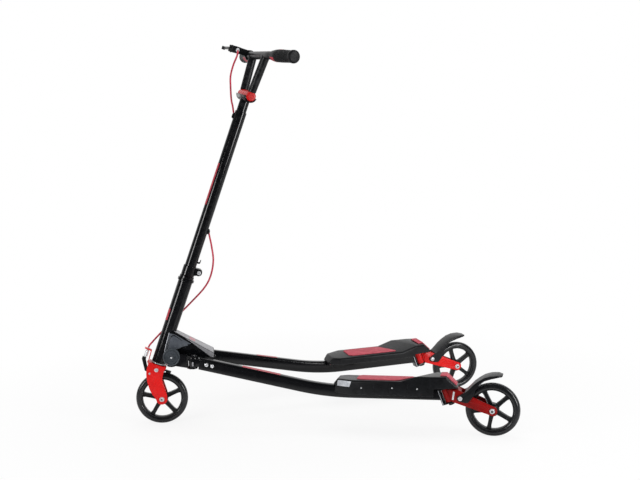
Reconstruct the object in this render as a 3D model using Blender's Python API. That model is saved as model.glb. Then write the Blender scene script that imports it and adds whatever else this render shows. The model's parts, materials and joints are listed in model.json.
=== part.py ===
"""Three-wheeled swing scooter: steered front wheel, two swinging deck arms and two inclined castors.

The working frame has X rearward from the front axle, Y to the rider's right and Z up from the floor.
Metres throughout.
"""
import math

import bmesh
import bpy
from mathutils import Matrix, Vector

# Fits shared by all pieces.
GAP = 0.0003                 # between two solids that touch
ROUND = 20                   # sides of a round piece
SMALL_ROUND = 10             # sides of a bolt

# Place of the working frame: the front axle over the floor, seen from the middle of the whole scooter.
FRONT_AXLE_X = -0.4427
CENTRE_Y = 0.0100

# Wheels.
WHEEL_R = 0.0725
TYRE_HALF = 0.0120
TYRE_DEPTH = 0.0150
RIM_DEPTH = 0.0045
TYRE_INNER_R = WHEEL_R - TYRE_DEPTH
RIM_INNER_R = TYRE_INNER_R - RIM_DEPTH
SPOKES = 5
SPOKE_W = 0.0105
AXLE_R = 0.0040

# Steering: the axis leans back and passes in front of the axle.
RAKE = math.radians(19.8)
AXLE_OFFSET = 0.0400         # axle behind the steering axis
AXIS_POINT = (-0.0376, 0.0, 0.0860)
BLADE_IN = 0.0160
BLADE_OUT = 0.0210
CROWN_LOW = WHEEL_R + 0.0095
CROWN_TOP = WHEEL_R + 0.0175
ROCKER_Z = WHEEL_R + 0.0025  # pivot of the front brake
STEERER_R = 0.0137
STEERER_BORE_R = 0.0110
STEERER_TOP = 0.3950
HEAD_R = 0.0198
HEAD_LOW = WHEEL_R + 0.0285
HEAD_TOP = 0.3360
CUP_SPIGOT_R = 0.0155
COLUMN_R = 0.0160
COLUMN_WALL = 0.0020
COLUMN_LOW = 0.3520
COLUMN_TOP = 0.8290

# Handlebar, turned a little in its clamp.
BAR_TURN = math.radians(16.3)
CROWN_S = 0.8770             # height of the red crown barrel along the axis
CROWN_R = 0.0135
CROWN_HALF = 0.0450
BAR_S = 0.9900               # height of the crossbar along the axis
BAR_R = 0.0111
BAR_WALL = 0.0021
BAR_SIDES = 16
BAR_BEND = 0.0800            # where the grips start to sweep back
BAR_SWEEP = math.radians(11.0)
BAR_TILT = math.radians(-3.3)   # the crossbar sits a little higher on the left
GRIP_RISE = math.radians(2.0)
LEG_R = 0.0114
LEG_LOW_Y = 0.0332
LEG_TOP_Y = 0.0555
LEVER_PIVOT = (0.0290, 0.0537, 0.0034)   # along the bar from its bend, forward, up
GRIP_START = 0.0206
GRIP_END = 0.1315

# Hub of the fold, and the yoke around it.
HUB = (0.0320, 0.0, 0.1980)
HUB_R = 0.0235
HUB_AXLE_R = 0.0060
BARREL_R = 0.0140
CHEEK_IN = 0.0385
CHEEK_OUT = 0.0505

# Arms: one straight run down from the yoke, a bend, and a level run under the deck.
PIN = (0.0920, 0.0515, 0.1835)
PIN_R = 0.0040
LUG_Z = (0.1650, 0.2020)      # bottom and top of the yoke's clevises
EYE_HIGH = 0.0275
ARM_HIGH = 0.0338
ARM_WIDE = 0.0240
ARM_WALL = 0.0020
ARM_START = (0.1110, 0.0555, 0.1800)
ARM_BEND = (0.4530, 0.1290, 0.1073)
BEND_REACH = 0.0750
ARM_END_RISE = 0.0014        # middle of the arm's rear end over the swivel point

# Castors: the swivel axis leans forward, the wheel trails.
SWIVEL = (0.7710, 0.2190, 0.1080)
SWIVEL_TILT = math.radians(20.0)
ARM_HEADING = math.radians(15.8)
TRAIL = WHEEL_R + 0.0455
TURN_LEFT = math.radians(3.3)      # outward turn of the left castor at rest
TURN_RIGHT = math.radians(-4.6)
KINGPIN_R = 0.0050
LUG_LOW = 0.0183
LUG_TOP = 0.0225
PLATE_IN = 0.0165
PLATE_OUT = 0.0200

# Decks.
DECK_X = 0.6000              # where the deck's middle line is measured
DECK_Y = 0.1620
DECK_TOP = 0.1442
DECK_TILT = math.radians(4.2)
DECK_NOSE_X = 0.4760
DECK_HALF = 0.0430
DECK_WALL = 0.0030
DECK_SKIN = 0.0040
DECK_HUMP = 0.0143           # rise of the heel

COLOURS = {
    "black": ((0.012, 0.012, 0.014), 0.28, 0.0),
    "charcoal": ((0.035, 0.037, 0.042), 0.45, 0.0),
    "red": ((0.62, 0.012, 0.015), 0.30, 0.0),
    "silver": ((0.66, 0.67, 0.69), 0.30, 1.0),
    "pad": ((0.50, 0.055, 0.075), 0.75, 0.0),
    "cable": ((0.30, 0.015, 0.035), 0.50, 0.0),
    "rubber": ((0.020, 0.020, 0.022), 0.80, 0.0),
    "tyre": ((0.015, 0.015, 0.016), 0.55, 0.0),
    "plastic": ((0.025, 0.025, 0.027), 0.50, 0.0),
}


def material(name):
    """The material of one colour, made once."""
    found = bpy.data.materials.get(name)
    if found:
        return found
    colour, roughness, metallic = COLOURS[name]
    made = bpy.data.materials.new(name)
    made.use_nodes = True
    shader = made.node_tree.nodes["Principled BSDF"]
    shader.inputs["Base Color"].default_value = (*colour, 1.0)
    shader.inputs["Roughness"].default_value = roughness
    shader.inputs["Metallic"].default_value = metallic
    made.diffuse_color = (*colour, 1.0)
    return made


def empty(name, parent, location=(0, 0, 0), rotation=(0, 0, 0)):
    """A frame to build in."""
    frame = bpy.data.objects.new(name, None)
    bpy.context.collection.objects.link(frame)
    frame.parent = parent
    frame.location = location
    frame.rotation_euler = rotation
    return frame


def finish_mesh(bm):
    """Mesh of a closed shape, faces outward."""
    bmesh.ops.recalc_face_normals(bm, faces=bm.faces)
    mesh = bpy.data.meshes.new("shape")
    bm.to_mesh(mesh)
    bm.free()
    return mesh


def loops_mesh(loops, ring=False):
    """Skin equal loops of points one after another; ends are capped, or joined up for a ring."""
    bm = bmesh.new()
    rows = [[bm.verts.new(point) for point in loop] for loop in loops]
    count = len(rows[0])
    pairs = list(zip(rows, rows[1:]))
    if ring:
        pairs.append((rows[-1], rows[0]))
    for low, high in pairs:
        for i in range(count):
            j = (i + 1) % count
            bm.faces.new((low[i], low[j], high[j], high[i]))
    if not ring:
        bm.faces.new(rows[0])
        bm.faces.new(rows[-1])
    return finish_mesh(bm)


def extruded(outline, low, high, axis="Y"):
    """Prism of a flat outline: (x, z) along Y, (x, y) along Z or (y, z) along X."""
    place = {
        "Y": lambda u, v, w: (u, w, v),
        "Z": lambda u, v, w: (u, v, w),
        "X": lambda u, v, w: (w, u, v),
    }[axis]
    return loops_mesh([[place(u, v, w) for u, v in outline] for w in (low, high)])


def turned(profile, axis="Z", centre=(0, 0), sides=ROUND):
    """Piece turned from (radius, height) points: a closed ring, or from axis to axis when both ends are 0."""
    on_axis = profile[0][0] == 0
    turn = {"Z": lambda u, v, w: (centre[0] + u, centre[1] + v, w),
            "Y": lambda u, v, w: (centre[0] + u, w, centre[1] + v)}[axis]
    angles = [2 * math.pi * i / sides for i in range(sides)]
    if not on_axis:
        loops = [[turn(r * math.cos(a), r * math.sin(a), h) for r, h in profile] for a in angles]
        return loops_mesh(loops, ring=True)
    bm = bmesh.new()
    first = bm.verts.new(turn(0, 0, profile[0][1]))
    last = bm.verts.new(turn(0, 0, profile[-1][1]))
    rows = [[bm.verts.new(turn(r * math.cos(a), r * math.sin(a), h)) for a in angles]
            for r, h in profile[1:-1]]
    for i in range(sides):
        j = (i + 1) % sides
        bm.faces.new((first, rows[0][i], rows[0][j]))
        bm.faces.new((last, rows[-1][j], rows[-1][i]))
        for low, high in zip(rows, rows[1:]):
            bm.faces.new((low[i], high[i], high[j], low[j]))
    return finish_mesh(bm)


def cylinder(radius, low, high, axis="Z", centre=(0, 0), sides=SMALL_ROUND):
    return turned([(0, low), (radius, low), (radius, high), (0, high)], axis, centre, sides)


def sleeve(inner, outer, low, high, axis="Z", centre=(0, 0), sides=ROUND):
    return turned([(inner, low), (outer, low), (outer, high), (inner, high)], axis, centre, sides)


def bolt(radius, head_r, reach, head, axis="Y", centre=(0, 0), sides=SMALL_ROUND):
    """Bolt across a joint, a head on both ends; reach is half the clamped width."""
    half = [(head_r, -reach - head), (head_r, -reach), (radius, -reach)]
    profile = [(0, -reach - head)] + half + [(r, -h) for r, h in reversed(half)] + [(0, reach + head)]
    return turned(profile, axis, centre, sides)


def box(x0, x1, y0, y1, z0, z1):
    return extruded([(x0, z0), (x1, z0), (x1, z1), (x0, z1)], y0, y1)


def arc(centre, radius, start, end, steps):
    """Points on an arc, degrees."""
    angles = [math.radians(start + (end - start) * i / steps) for i in range(steps + 1)]
    return [(centre[0] + radius * math.cos(a), centre[1] + radius * math.sin(a)) for a in angles]


def rounded(wide, high, radius, steps=3):
    """Rounded rectangle as (side, up) points."""
    points = []
    for sx, sz, start in ((1, 1, 0), (-1, 1, 90), (-1, -1, 180), (1, -1, 270)):
        corner = (sx * (wide / 2 - radius), sz * (high / 2 - radius))
        points += arc(corner, radius, start, start + 90, steps)
    return points


def ring_of(radius, sides):
    return [(radius * math.cos(2 * math.pi * i / sides), radius * math.sin(2 * math.pi * i / sides))
            for i in range(sides)]


def path_frames(path, up=(0, 0, 1)):
    """Tangent, side and upward direction at every point of a path."""
    points = [Vector(p) for p in path]
    frames = []
    for i, point in enumerate(points):
        before = points[max(i - 1, 0)]
        after = points[min(i + 1, len(points) - 1)]
        tangent = ((point - before).normalized() + (after - point).normalized()).normalized()
        side = Vector(up).cross(tangent).normalized()
        frames.append((point, tangent, side, tangent.cross(side)))
    return frames


def section_loops(path, section, up=(0, 0, 1), end_slope=0.0):
    """Loops of a section carried along a path; the last one may lean, its top forward."""
    loops = []
    frames = path_frames(path, up)
    for i, (point, tangent, side, high) in enumerate(frames):
        slope = end_slope if i == len(frames) - 1 else 0.0
        loops.append([point + side * a + high * b - tangent * (b * slope) for a, b in section])
    return loops


def rod(path, section, up=(0, 0, 1)):
    return loops_mesh(section_loops(path, section, up))


def pipe(path, outer, inner, up=(0, 0, 1), end_slope=0.0):
    """Open-ended pipe with its wall between two equal sections."""
    outside = section_loops(path, outer, up, end_slope)
    inside = section_loops(path, inner, up, end_slope)
    bm = bmesh.new()
    out_rows = [[bm.verts.new(p) for p in loop] for loop in outside]
    in_rows = [[bm.verts.new(p) for p in loop] for loop in inside]
    count = len(outer)
    for rows in (out_rows, in_rows):
        for low, high in zip(rows, rows[1:]):
            for i in range(count):
                j = (i + 1) % count
                bm.faces.new((low[i], low[j], high[j], high[i]))
    for k in (0, -1):
        for i in range(count):
            j = (i + 1) % count
            bm.faces.new((out_rows[k][i], out_rows[k][j], in_rows[k][j], in_rows[k][i]))
    return finish_mesh(bm)


def moved(mesh, matrix):
    mesh.transform(matrix)
    if matrix.determinant() < 0:
        mesh.flip_normals()
    return mesh


def mirrored(mesh):
    """Copy on the other side of the middle plane."""
    return moved(mesh.copy(), Matrix.Scale(-1, 4, (0, 1, 0)))


def combined(base, operation, tools):
    """Unite the base with every tool, or cut every tool from it."""
    target = bpy.data.objects.new("work", base)
    bpy.context.collection.objects.link(target)
    helpers = []
    for tool in tools:
        helper = bpy.data.objects.new("tool", tool)
        bpy.context.collection.objects.link(helper)
        helpers.append(helper)
        step = target.modifiers.new("step", "BOOLEAN")
        step.operation = operation
        step.solver = "EXACT"
        step.object = helper
    bpy.context.view_layer.update()
    result = bpy.data.meshes.new_from_object(target.evaluated_get(bpy.context.evaluated_depsgraph_get()))
    for obj in [target] + helpers:
        bpy.data.objects.remove(obj, do_unlink=True)
    bm = bmesh.new()
    bm.from_mesh(result)
    bmesh.ops.remove_doubles(bm, verts=bm.verts, dist=1e-6)
    bmesh.ops.dissolve_degenerate(bm, edges=bm.edges, dist=1e-6)
    bmesh.ops.dissolve_limit(bm, angle_limit=math.radians(0.2), verts=bm.verts, edges=bm.edges)
    bm.to_mesh(result)
    bm.free()
    return result


def united(base, *tools):
    return combined(base, "UNION", tools)


def cut(base, *tools):
    return combined(base, "DIFFERENCE", tools)


def part(name, mesh, parent, colour, origin=(0, 0, 0), angle=32):
    """Object of one piece; the mesh is given in the parent's frame and the origin lies on the joint axis."""
    mesh.transform(Matrix.Translation(-Vector(origin)))
    mesh.materials.clear()
    mesh.materials.append(material(colour))
    mesh.name = name
    obj = bpy.data.objects.new(name, mesh)
    bpy.context.collection.objects.link(obj)
    obj.parent = parent
    obj.location = origin
    mesh.shade_smooth()
    mesh.set_sharp_from_angle(angle=math.radians(angle))
    return obj


def smooth_path(route, count):
    """Evenly spaced points on a smooth curve through the route points."""
    points = [Vector(p) for p in route]
    ghosts = [2 * points[0] - points[1]] + points + [2 * points[-1] - points[-2]]
    fine = []
    for a, b, c, d in zip(ghosts, ghosts[1:], ghosts[2:], ghosts[3:]):
        for k in range(24):
            t = k / 24
            fine.append(0.5 * (2 * b + (c - a) * t + (2 * a - 5 * b + 4 * c - d) * t * t
                               + (3 * b - a - 3 * c + d) * t * t * t))
    fine.append(points[-1])
    lengths = [0.0]
    for p, q in zip(fine, fine[1:]):
        lengths.append(lengths[-1] + (q - p).length)
    even = []
    k = 0
    for i in range(count):
        goal = lengths[-1] * i / (count - 1)
        while k < len(fine) - 2 and lengths[k + 1] < goal:
            k += 1
        share = (goal - lengths[k]) / (lengths[k + 1] - lengths[k])
        even.append(fine[k].lerp(fine[k + 1], min(max(share, 0), 1)))
    return even


def cord(name, route, radius, count, parent, colour):
    """Round cord as a curve object with closed ends."""
    curve = bpy.data.curves.new(name, "CURVE")
    curve.dimensions = "3D"
    curve.bevel_depth = radius
    curve.bevel_resolution = 2
    curve.use_fill_caps = True
    path = smooth_path(route, count)
    spline = curve.splines.new("POLY")
    spline.points.add(count - 1)
    for point, place in zip(spline.points, path):
        point.co = (*place, 1.0)
    curve.materials.append(material(colour))
    obj = bpy.data.objects.new(name, curve)
    bpy.context.collection.objects.link(obj)
    obj.parent = parent
    return obj


def rake_matrix():
    """From the steering frame (x rearward, z along the axis) to the working frame."""
    return Matrix.Translation(AXIS_POINT) @ Matrix.Rotation(RAKE, 4, "Y")


def inclined(d, z):
    """Castor point given level (d rearward, z up from the swivel) in the frame of the leaning axis."""
    c = math.cos(SWIVEL_TILT)
    s = math.sin(SWIVEL_TILT)
    return (d * c + z * s, z * c - d * s)


def side_piece(mesh, side):
    """Pieces are drawn for the right side (+1) and mirrored for the left (-1)."""
    return mesh.copy() if side > 0 else mirrored(mesh)


def make_yoke(base):
    """Two cheeks around the hub, tied below it, each with a clevis for its arm."""
    hub = (HUB[0], HUB[2])
    pin_x, pin_y, pin_z = PIN
    disc = cylinder(HUB_R, CHEEK_IN, CHEEK_OUT, "Y", hub, 28)
    neck = extruded([(0.028, 0.2150), (0.058, 0.2045), (0.081, LUG_Z[1]), (0.081, LUG_Z[0]), (0.060, 0.1690),
                     (0.028, 0.1755)], CHEEK_IN, CHEEK_OUT)
    rear = arc((pin_x, pin_y), 0.0118, -90, 90, 6)
    block = extruded([(0.074, CHEEK_IN)] + rear + [(0.082, pin_y + 0.0118), (0.074, pin_y)],
                     LUG_Z[0], LUG_Z[1], "Z")
    half_eye = EYE_HIGH / 2 + GAP
    slot = box(0.0785, 0.1200, 0.0300, 0.0800, pin_z - half_eye, pin_z + half_eye)
    lobe = extruded(arc(hub, 0.0285, -118, -62, 4) + [(HUB[0] + 0.010, HUB[2] - 0.012), hub],
                    CHEEK_IN, CHEEK_OUT - 0.0030)
    recess = sleeve(0.0108, 0.0190, CHEEK_OUT - 0.0015, CHEEK_OUT + 0.002, "Y", hub, 18)
    bore = cylinder(PIN_R + GAP, 0.14, 0.22, "Z", (pin_x, pin_y))
    cheek = cut(united(disc, neck, block, lobe), slot, recess, bore)
    tie = extruded(arc(hub, 0.0240, -124, -92, 3) + arc(hub, 0.0185, -92, -124, 3),
                   -CHEEK_IN - 0.002, CHEEK_IN + 0.002)
    yoke = united(cheek, mirrored(cheek), tie)
    yoke = cut(yoke, cylinder(HUB_AXLE_R + GAP, -0.08, 0.08, "Y", hub))
    part("yoke", yoke, base, "black")
    part("hub_axle", bolt(HUB_AXLE_R, 0.0092, CHEEK_OUT + GAP, 0.0050, "Y", hub), base, "silver")
    for name, side in (("left", -1), ("right", 1)):
        pin = bolt(PIN_R, 0.0068, (LUG_Z[1] - LUG_Z[0]) / 2 + GAP, 0.0012, "Z", (pin_x, side * pin_y))
        pin.transform(Matrix.Translation((0, 0, sum(LUG_Z) / 2)))
        part("pin_" + name, pin, base, "silver")


def wedge_solid(outline, shrink):
    """Prism of the wedge's side view, wider toward the rear."""
    mesh = extruded(outline, -1, 1)
    for vertex in mesh.vertices:
        half = 0.0190 + (vertex.co.x - 0.030) * 0.127 - shrink
        vertex.co.y = math.copysign(half, vertex.co.y)
    return mesh


def make_head(head, rake):
    """Head tube with its wedge gusset and cups; all of it turns about the hub when the scooter folds."""
    hub = (HUB[0], HUB[2])
    part("head_tube", sleeve(CUP_SPIGOT_R + GAP, HEAD_R, HEAD_LOW, HEAD_TOP), rake, "black")
    body = wedge_solid([(0.010, 0.1920), (0.036, 0.1865), (0.060, 0.1935), (0.148, 0.1880), (0.148, 0.2025),
                        (0.030, 0.2701)], 0)
    boss = extruded([(0.0180, 0.2000), (0.0190, 0.2150), (0.0290, 0.2480), (0.0385, 0.2560), (0.0770, 0.2290),
                     (0.0800, 0.2225), (0.0660, 0.2205), (0.0500, 0.2145), (0.0360, 0.2130),
                     (0.0300, 0.2000)], 0.0150, 0.0245)
    barrel = cylinder(BARREL_R, -CHEEK_IN + GAP, CHEEK_IN - GAP, "Y", hub, ROUND)
    cavity = wedge_solid([(0.0500, 0.150), (0.1450, 0.150), (0.1450, 0.2006), (0.0560, 0.2518),
                          (0.0500, 0.2300)], 0.0030)
    around = moved(cylinder(HEAD_R + GAP, 0.05, 0.40, sides=ROUND), rake_matrix())
    bore = cylinder(HUB_AXLE_R + 2 * GAP, -0.06, 0.06, "Y", hub)
    gusset = cut(united(body, boss, mirrored(boss), barrel), cavity, around, bore)
    part("gusset", gusset, head, "charcoal", origin=HUB)
    inner = STEERER_R + GAP
    part("cup_lower", turned([(inner, CROWN_TOP + GAP), (0.0200, CROWN_TOP + GAP), (0.0200, HEAD_LOW - GAP),
                              (CUP_SPIGOT_R, HEAD_LOW - GAP), (CUP_SPIGOT_R, HEAD_LOW + 0.008),
                              (inner, HEAD_LOW + 0.008)]), rake, "black")
    part("cup_upper", turned([(inner, HEAD_TOP - 0.008), (CUP_SPIGOT_R, HEAD_TOP - 0.008),
                              (CUP_SPIGOT_R, HEAD_TOP + GAP), (0.0230, HEAD_TOP + GAP),
                              (0.0230, HEAD_TOP + 0.0073), (inner, HEAD_TOP + 0.0073)]), rake, "black")


def make_fork(steer):
    """Two blades under a crown, with the steerer tube on top."""
    axle = (AXLE_OFFSET, 0.0)
    outline = [(-0.0263, CROWN_TOP), (-0.0264, 0.0690), (-0.0167, 0.0410), (0.0005, 0.0150),
               (0.0230, -0.0040)]
    outline += arc(axle, 0.0155, 225, 385, 8)
    outline += [(0.0479, 0.0236), (0.0249, 0.0536), (0.0212, 0.0757), (0.0244, CROWN_TOP)]
    blades = extruded(outline, -BLADE_OUT, BLADE_OUT)
    between = box(-0.05, 0.08, -BLADE_IN, BLADE_IN, -0.05, CROWN_LOW)
    steerer = cylinder(STEERER_R, CROWN_TOP - 0.003, STEERER_TOP, sides=ROUND)
    bore = cylinder(STEERER_BORE_R, CROWN_LOW - 0.01, STEERER_TOP + 0.01, sides=ROUND)
    pivot = cylinder(0.0033, -0.03, 0.03, "Y", (0, ROCKER_Z))
    hole = cylinder(AXLE_R + GAP, -0.03, 0.03, "Y", axle)
    fork = united(cut(blades, between, pivot, hole), steerer)
    part("fork", cut(fork, bore), steer, "red")
    part("front_axle", bolt(AXLE_R, 0.0085, BLADE_OUT + GAP, 0.0050, "Y", axle), steer, "silver")
    part("rocker_bolt", bolt(0.0030, 0.0058, BLADE_OUT + GAP, 0.0034, "Y", (0, ROCKER_Z)), steer,
         "silver")


CABLE_LOWER = [(-0.0186, 0.0026, 0.8200), (-0.0145, 0.0006, 0.8115), (-0.0080, 0, 0.7990),
               (-0.0025, 0, 0.7820), (0, 0, 0.7560), (0, 0, 0.6700), (0, 0, 0.5300), (0.0035, 0, 0.5110),
               (0.0100, 0, 0.4990), (0.0165, 0, 0.4895), (0.0235, 0, 0.4770), (0.0386, 0.0020, 0.4502),
               (0.0560, 0.0080, 0.4120), (0.0622, 0.0130, 0.3680), (0.0560, 0.0210, 0.3290),
               (0.0337, 0.0290, 0.2772), (0.0038, 0.0265, 0.2174), (-0.0230, 0.0170, 0.1650),
               (-0.0372, 0.0040, ROCKER_Z + 0.0610), (-0.0400, 0, ROCKER_Z + 0.0540),
               (-0.0400, 0, ROCKER_Z + 0.0499)]
CABLE_R = 0.0025


def make_column(steer):
    """Steering column over the steerer, its clamp, and the ports where the brake cable goes in and out."""
    column = sleeve(COLUMN_R - COLUMN_WALL, COLUMN_R, COLUMN_LOW, COLUMN_TOP)
    hook = extruded([(0.0150, 0.3920), (0.0215, 0.3930), (0.0235, 0.3960), (0.0235, 0.4050), (0.0212, 0.4050),
                     (0.0205, 0.3975), (0.0150, 0.3975)], -0.0030, 0.0030)
    keep_clear = cylinder(COLUMN_R - 0.0010, 0.30, 0.50, sides=ROUND)
    section = ring_of(CABLE_R + 0.0009, 10)
    entry = rod([(-0.0270, 0.0070, 0.8370), (-0.0186, 0.0026, 0.8200), (-0.0145, 0.0006, 0.8115),
                 (-0.0080, 0, 0.7990)], section, (0, 1, 0))
    leave = rod([(0.0100, 0, 0.4990), (0.0165, 0, 0.4895), (0.0290, 0, 0.4670)], section, (0, 1, 0))
    column = cut(united(column, cut(hook, keep_clear)), entry.copy(), leave.copy())
    part("column", column, steer, "black")
    part("headset_nut", sleeve(STEERER_R + GAP, 0.0200, HEAD_TOP + 0.0076, COLUMN_LOW - GAP), steer, "black")

    port = extruded([(-0.0130, 0.7950), (-0.0200, 0.7955), (-0.0232, 0.8000), (-0.0232, 0.8110),
                     (-0.0218, 0.8205), (-0.0130, 0.8215)], -0.0055, 0.0065)
    outside = cylinder(COLUMN_R + GAP, 0.45, 0.90, sides=ROUND)
    part("port_upper", cut(port, outside.copy(), entry), steer, "plastic")
    port = extruded([(0.0130, 0.5040), (0.0205, 0.5030), (0.0245, 0.4930), (0.0225, 0.4800),
                     (0.0130, 0.4770)], -0.0060, 0.0060)
    part("port_lower", cut(port, outside, leave), steer, "plastic")

    ears = extruded([(0.0100, 0.3560), (0.0250, 0.3603)] + arc((0.0270, 0.3700), 0.0100, -90, 90, 8)
                    + [(0.0100, 0.3795)], -0.0100, 0.0100)
    ring = cylinder(0.0185, 0.3530, 0.3800, sides=ROUND)
    bore = cylinder(COLUMN_R + GAP, 0.34, 0.39, sides=ROUND)
    slot = box(0.010, 0.045, -0.0012, 0.0012, 0.34, 0.39)
    hole = cylinder(0.0030, -0.02, 0.02, "Y", (0.0285, 0.3700))
    part("collar_lower", cut(united(ring, ears), bore, slot, hole), steer, "charcoal")
    part("collar_bolt", bolt(0.0027, 0.0055, 0.0100 + GAP, 0.0035, "Y", (0.0285, 0.3700)), steer, "silver")


def make_front_brake(steer):
    """Rocker that presses a block on the front tyre when the cable lifts its nose."""
    brake = empty("front_brake", steer, (0, 0, ROCKER_Z))
    sheet = extruded([(-0.0267, 0.0075), (-0.0292, 0.0075), (-0.0308, 0.0430), (-0.0325, 0.0442),
                      (-0.0490, 0.0460), (-0.0490, 0.0486), (-0.0295, 0.0470), (-0.0283, 0.0455)],
                     -0.0065, 0.0065)
    screw = moved(cylinder(0.0030, 0.0270, 0.0310, sides=10), Matrix(((0, 0, -1, 0), (0, 1, 0, 0),
                                                                      (1, 0, 0, 0.0118), (0, 0, 0, 1))))
    hole = cylinder(0.0030, 0.02, 0.07, centre=(-0.0400, 0))
    part("cable_stop", cut(united(sheet, screw), hole), brake, "red")
    part("adjuster", turned([(0, 0.0246), (0.0042, 0.0246), (0.0048, 0.0260), (0.0048, 0.0410),
                             (0.0040, 0.0420), (0.0040, 0.0443), (0.0027, 0.0443), (0.0027, 0.0488),
                             (0, 0.0488)], centre=(-0.0400, 0), sides=SMALL_ROUND), brake, "silver")
    outline = [(-0.0480, 0.0218), (-0.0370, 0.0218), (-0.0368, 0.0155), (-0.0252, -0.0060),
               (-0.0190, -0.0060), (-0.0070, 0.0047), (0.0120, 0.0047), (0.0280, 0.0041), (0.0410, 0.0038),
               (0.0416, 0.0016), (0.0262, 0.0016), (0.0235, -0.0012), (0.0050, -0.0050), (-0.0100, -0.0110),
               (-0.0230, -0.0165), (-0.0300, -0.0145), (-0.0480, 0.0155)]
    arm = extruded(outline, -0.0060, 0.0060)
    hub = cylinder(0.0048, -BLADE_IN + GAP, BLADE_IN - GAP, "Y")
    bore = cylinder(0.0033, -0.03, 0.03, "Y")
    part("brake_rocker", cut(united(arm, hub), bore), brake, "plastic")
    under = [(AXLE_OFFSET + x, z - ROCKER_Z) for x, z in arc((0, 0), WHEEL_R + 0.0012, 89.6, 100.4, 4)]
    shoe = extruded(under + [(0.0267, 0.0013), (0.0405, 0.0013)], -0.0085, 0.0085)
    part("brake_shoe", shoe, brake, "rubber")


def make_wheel(prefix, parent, centre, hub_half, phase):
    """Rim with five spokes and a round tyre; centre is given in the parent's frame (x, z)."""
    spin = empty(prefix + "_spin", parent, (centre[0], 0, centre[1]), (0, phase, 0))
    half = [(TYRE_INNER_R + share * TYRE_DEPTH, -y)
            for share, y in ((0, 0.0105), (0.367, TYRE_HALF), (0.767, 0.0103), (0.947, 0.0055))]
    profile = half + [(WHEEL_R, 0.0)] + [(r, -h) for r, h in reversed(half)]
    part(prefix + "_tyre", turned(profile, "Y", sides=32), spin, "tyre")
    outer = TYRE_INNER_R - GAP
    rim = turned([(RIM_INNER_R + 0.0010, -0.0105), (outer, -0.0105), (outer, 0.0105),
                  (RIM_INNER_R + 0.0010, 0.0105), (RIM_INNER_R, 0.0060), (RIM_INNER_R, -0.0060)],
                 "Y", sides=30)
    star = []
    for i in range(SPOKES):
        turn = 2 * math.pi * i / SPOKES
        for r, across in ((0.0125, -SPOKE_W), (RIM_INNER_R + 0.0018, -SPOKE_W),
                          (RIM_INNER_R + 0.0018, SPOKE_W), (0.0125, SPOKE_W)):
            along = Vector((r, across / 2))
            star.append((along.x * math.cos(turn) - along.y * math.sin(turn),
                         along.x * math.sin(turn) + along.y * math.cos(turn)))
    spokes = extruded(star, -0.0065, 0.0065)
    hub = turned([(0, -hub_half), (0.0110, -hub_half), (0.0170, -0.0100), (0.0170, 0.0100),
                  (0.0110, hub_half), (0, hub_half)], "Y", sides=12)
    bore = cylinder(AXLE_R + 2 * GAP, -0.03, 0.03, "Y", sides=10)
    part(prefix + "_core", cut(united(rim, spokes, hub), bore), spin, "plastic")


def bar_tilt():
    """Small tilt of the crossbar about its middle."""
    middle = Matrix.Translation((0, 0, BAR_S))
    return middle @ Matrix.Rotation(BAR_TILT, 4, "X") @ middle.inverted()


def grip_frame(side):
    """Frame at a bend of the bar, z along the grip and x rearward across it."""
    sweep = Matrix.Rotation(-side * BAR_SWEEP, 4, "Z")
    along = Matrix.Rotation(side * (GRIP_RISE - math.radians(90)), 4, "X")
    return bar_tilt() @ Matrix.Translation((0, side * BAR_BEND, BAR_S)) @ sweep @ along


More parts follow.
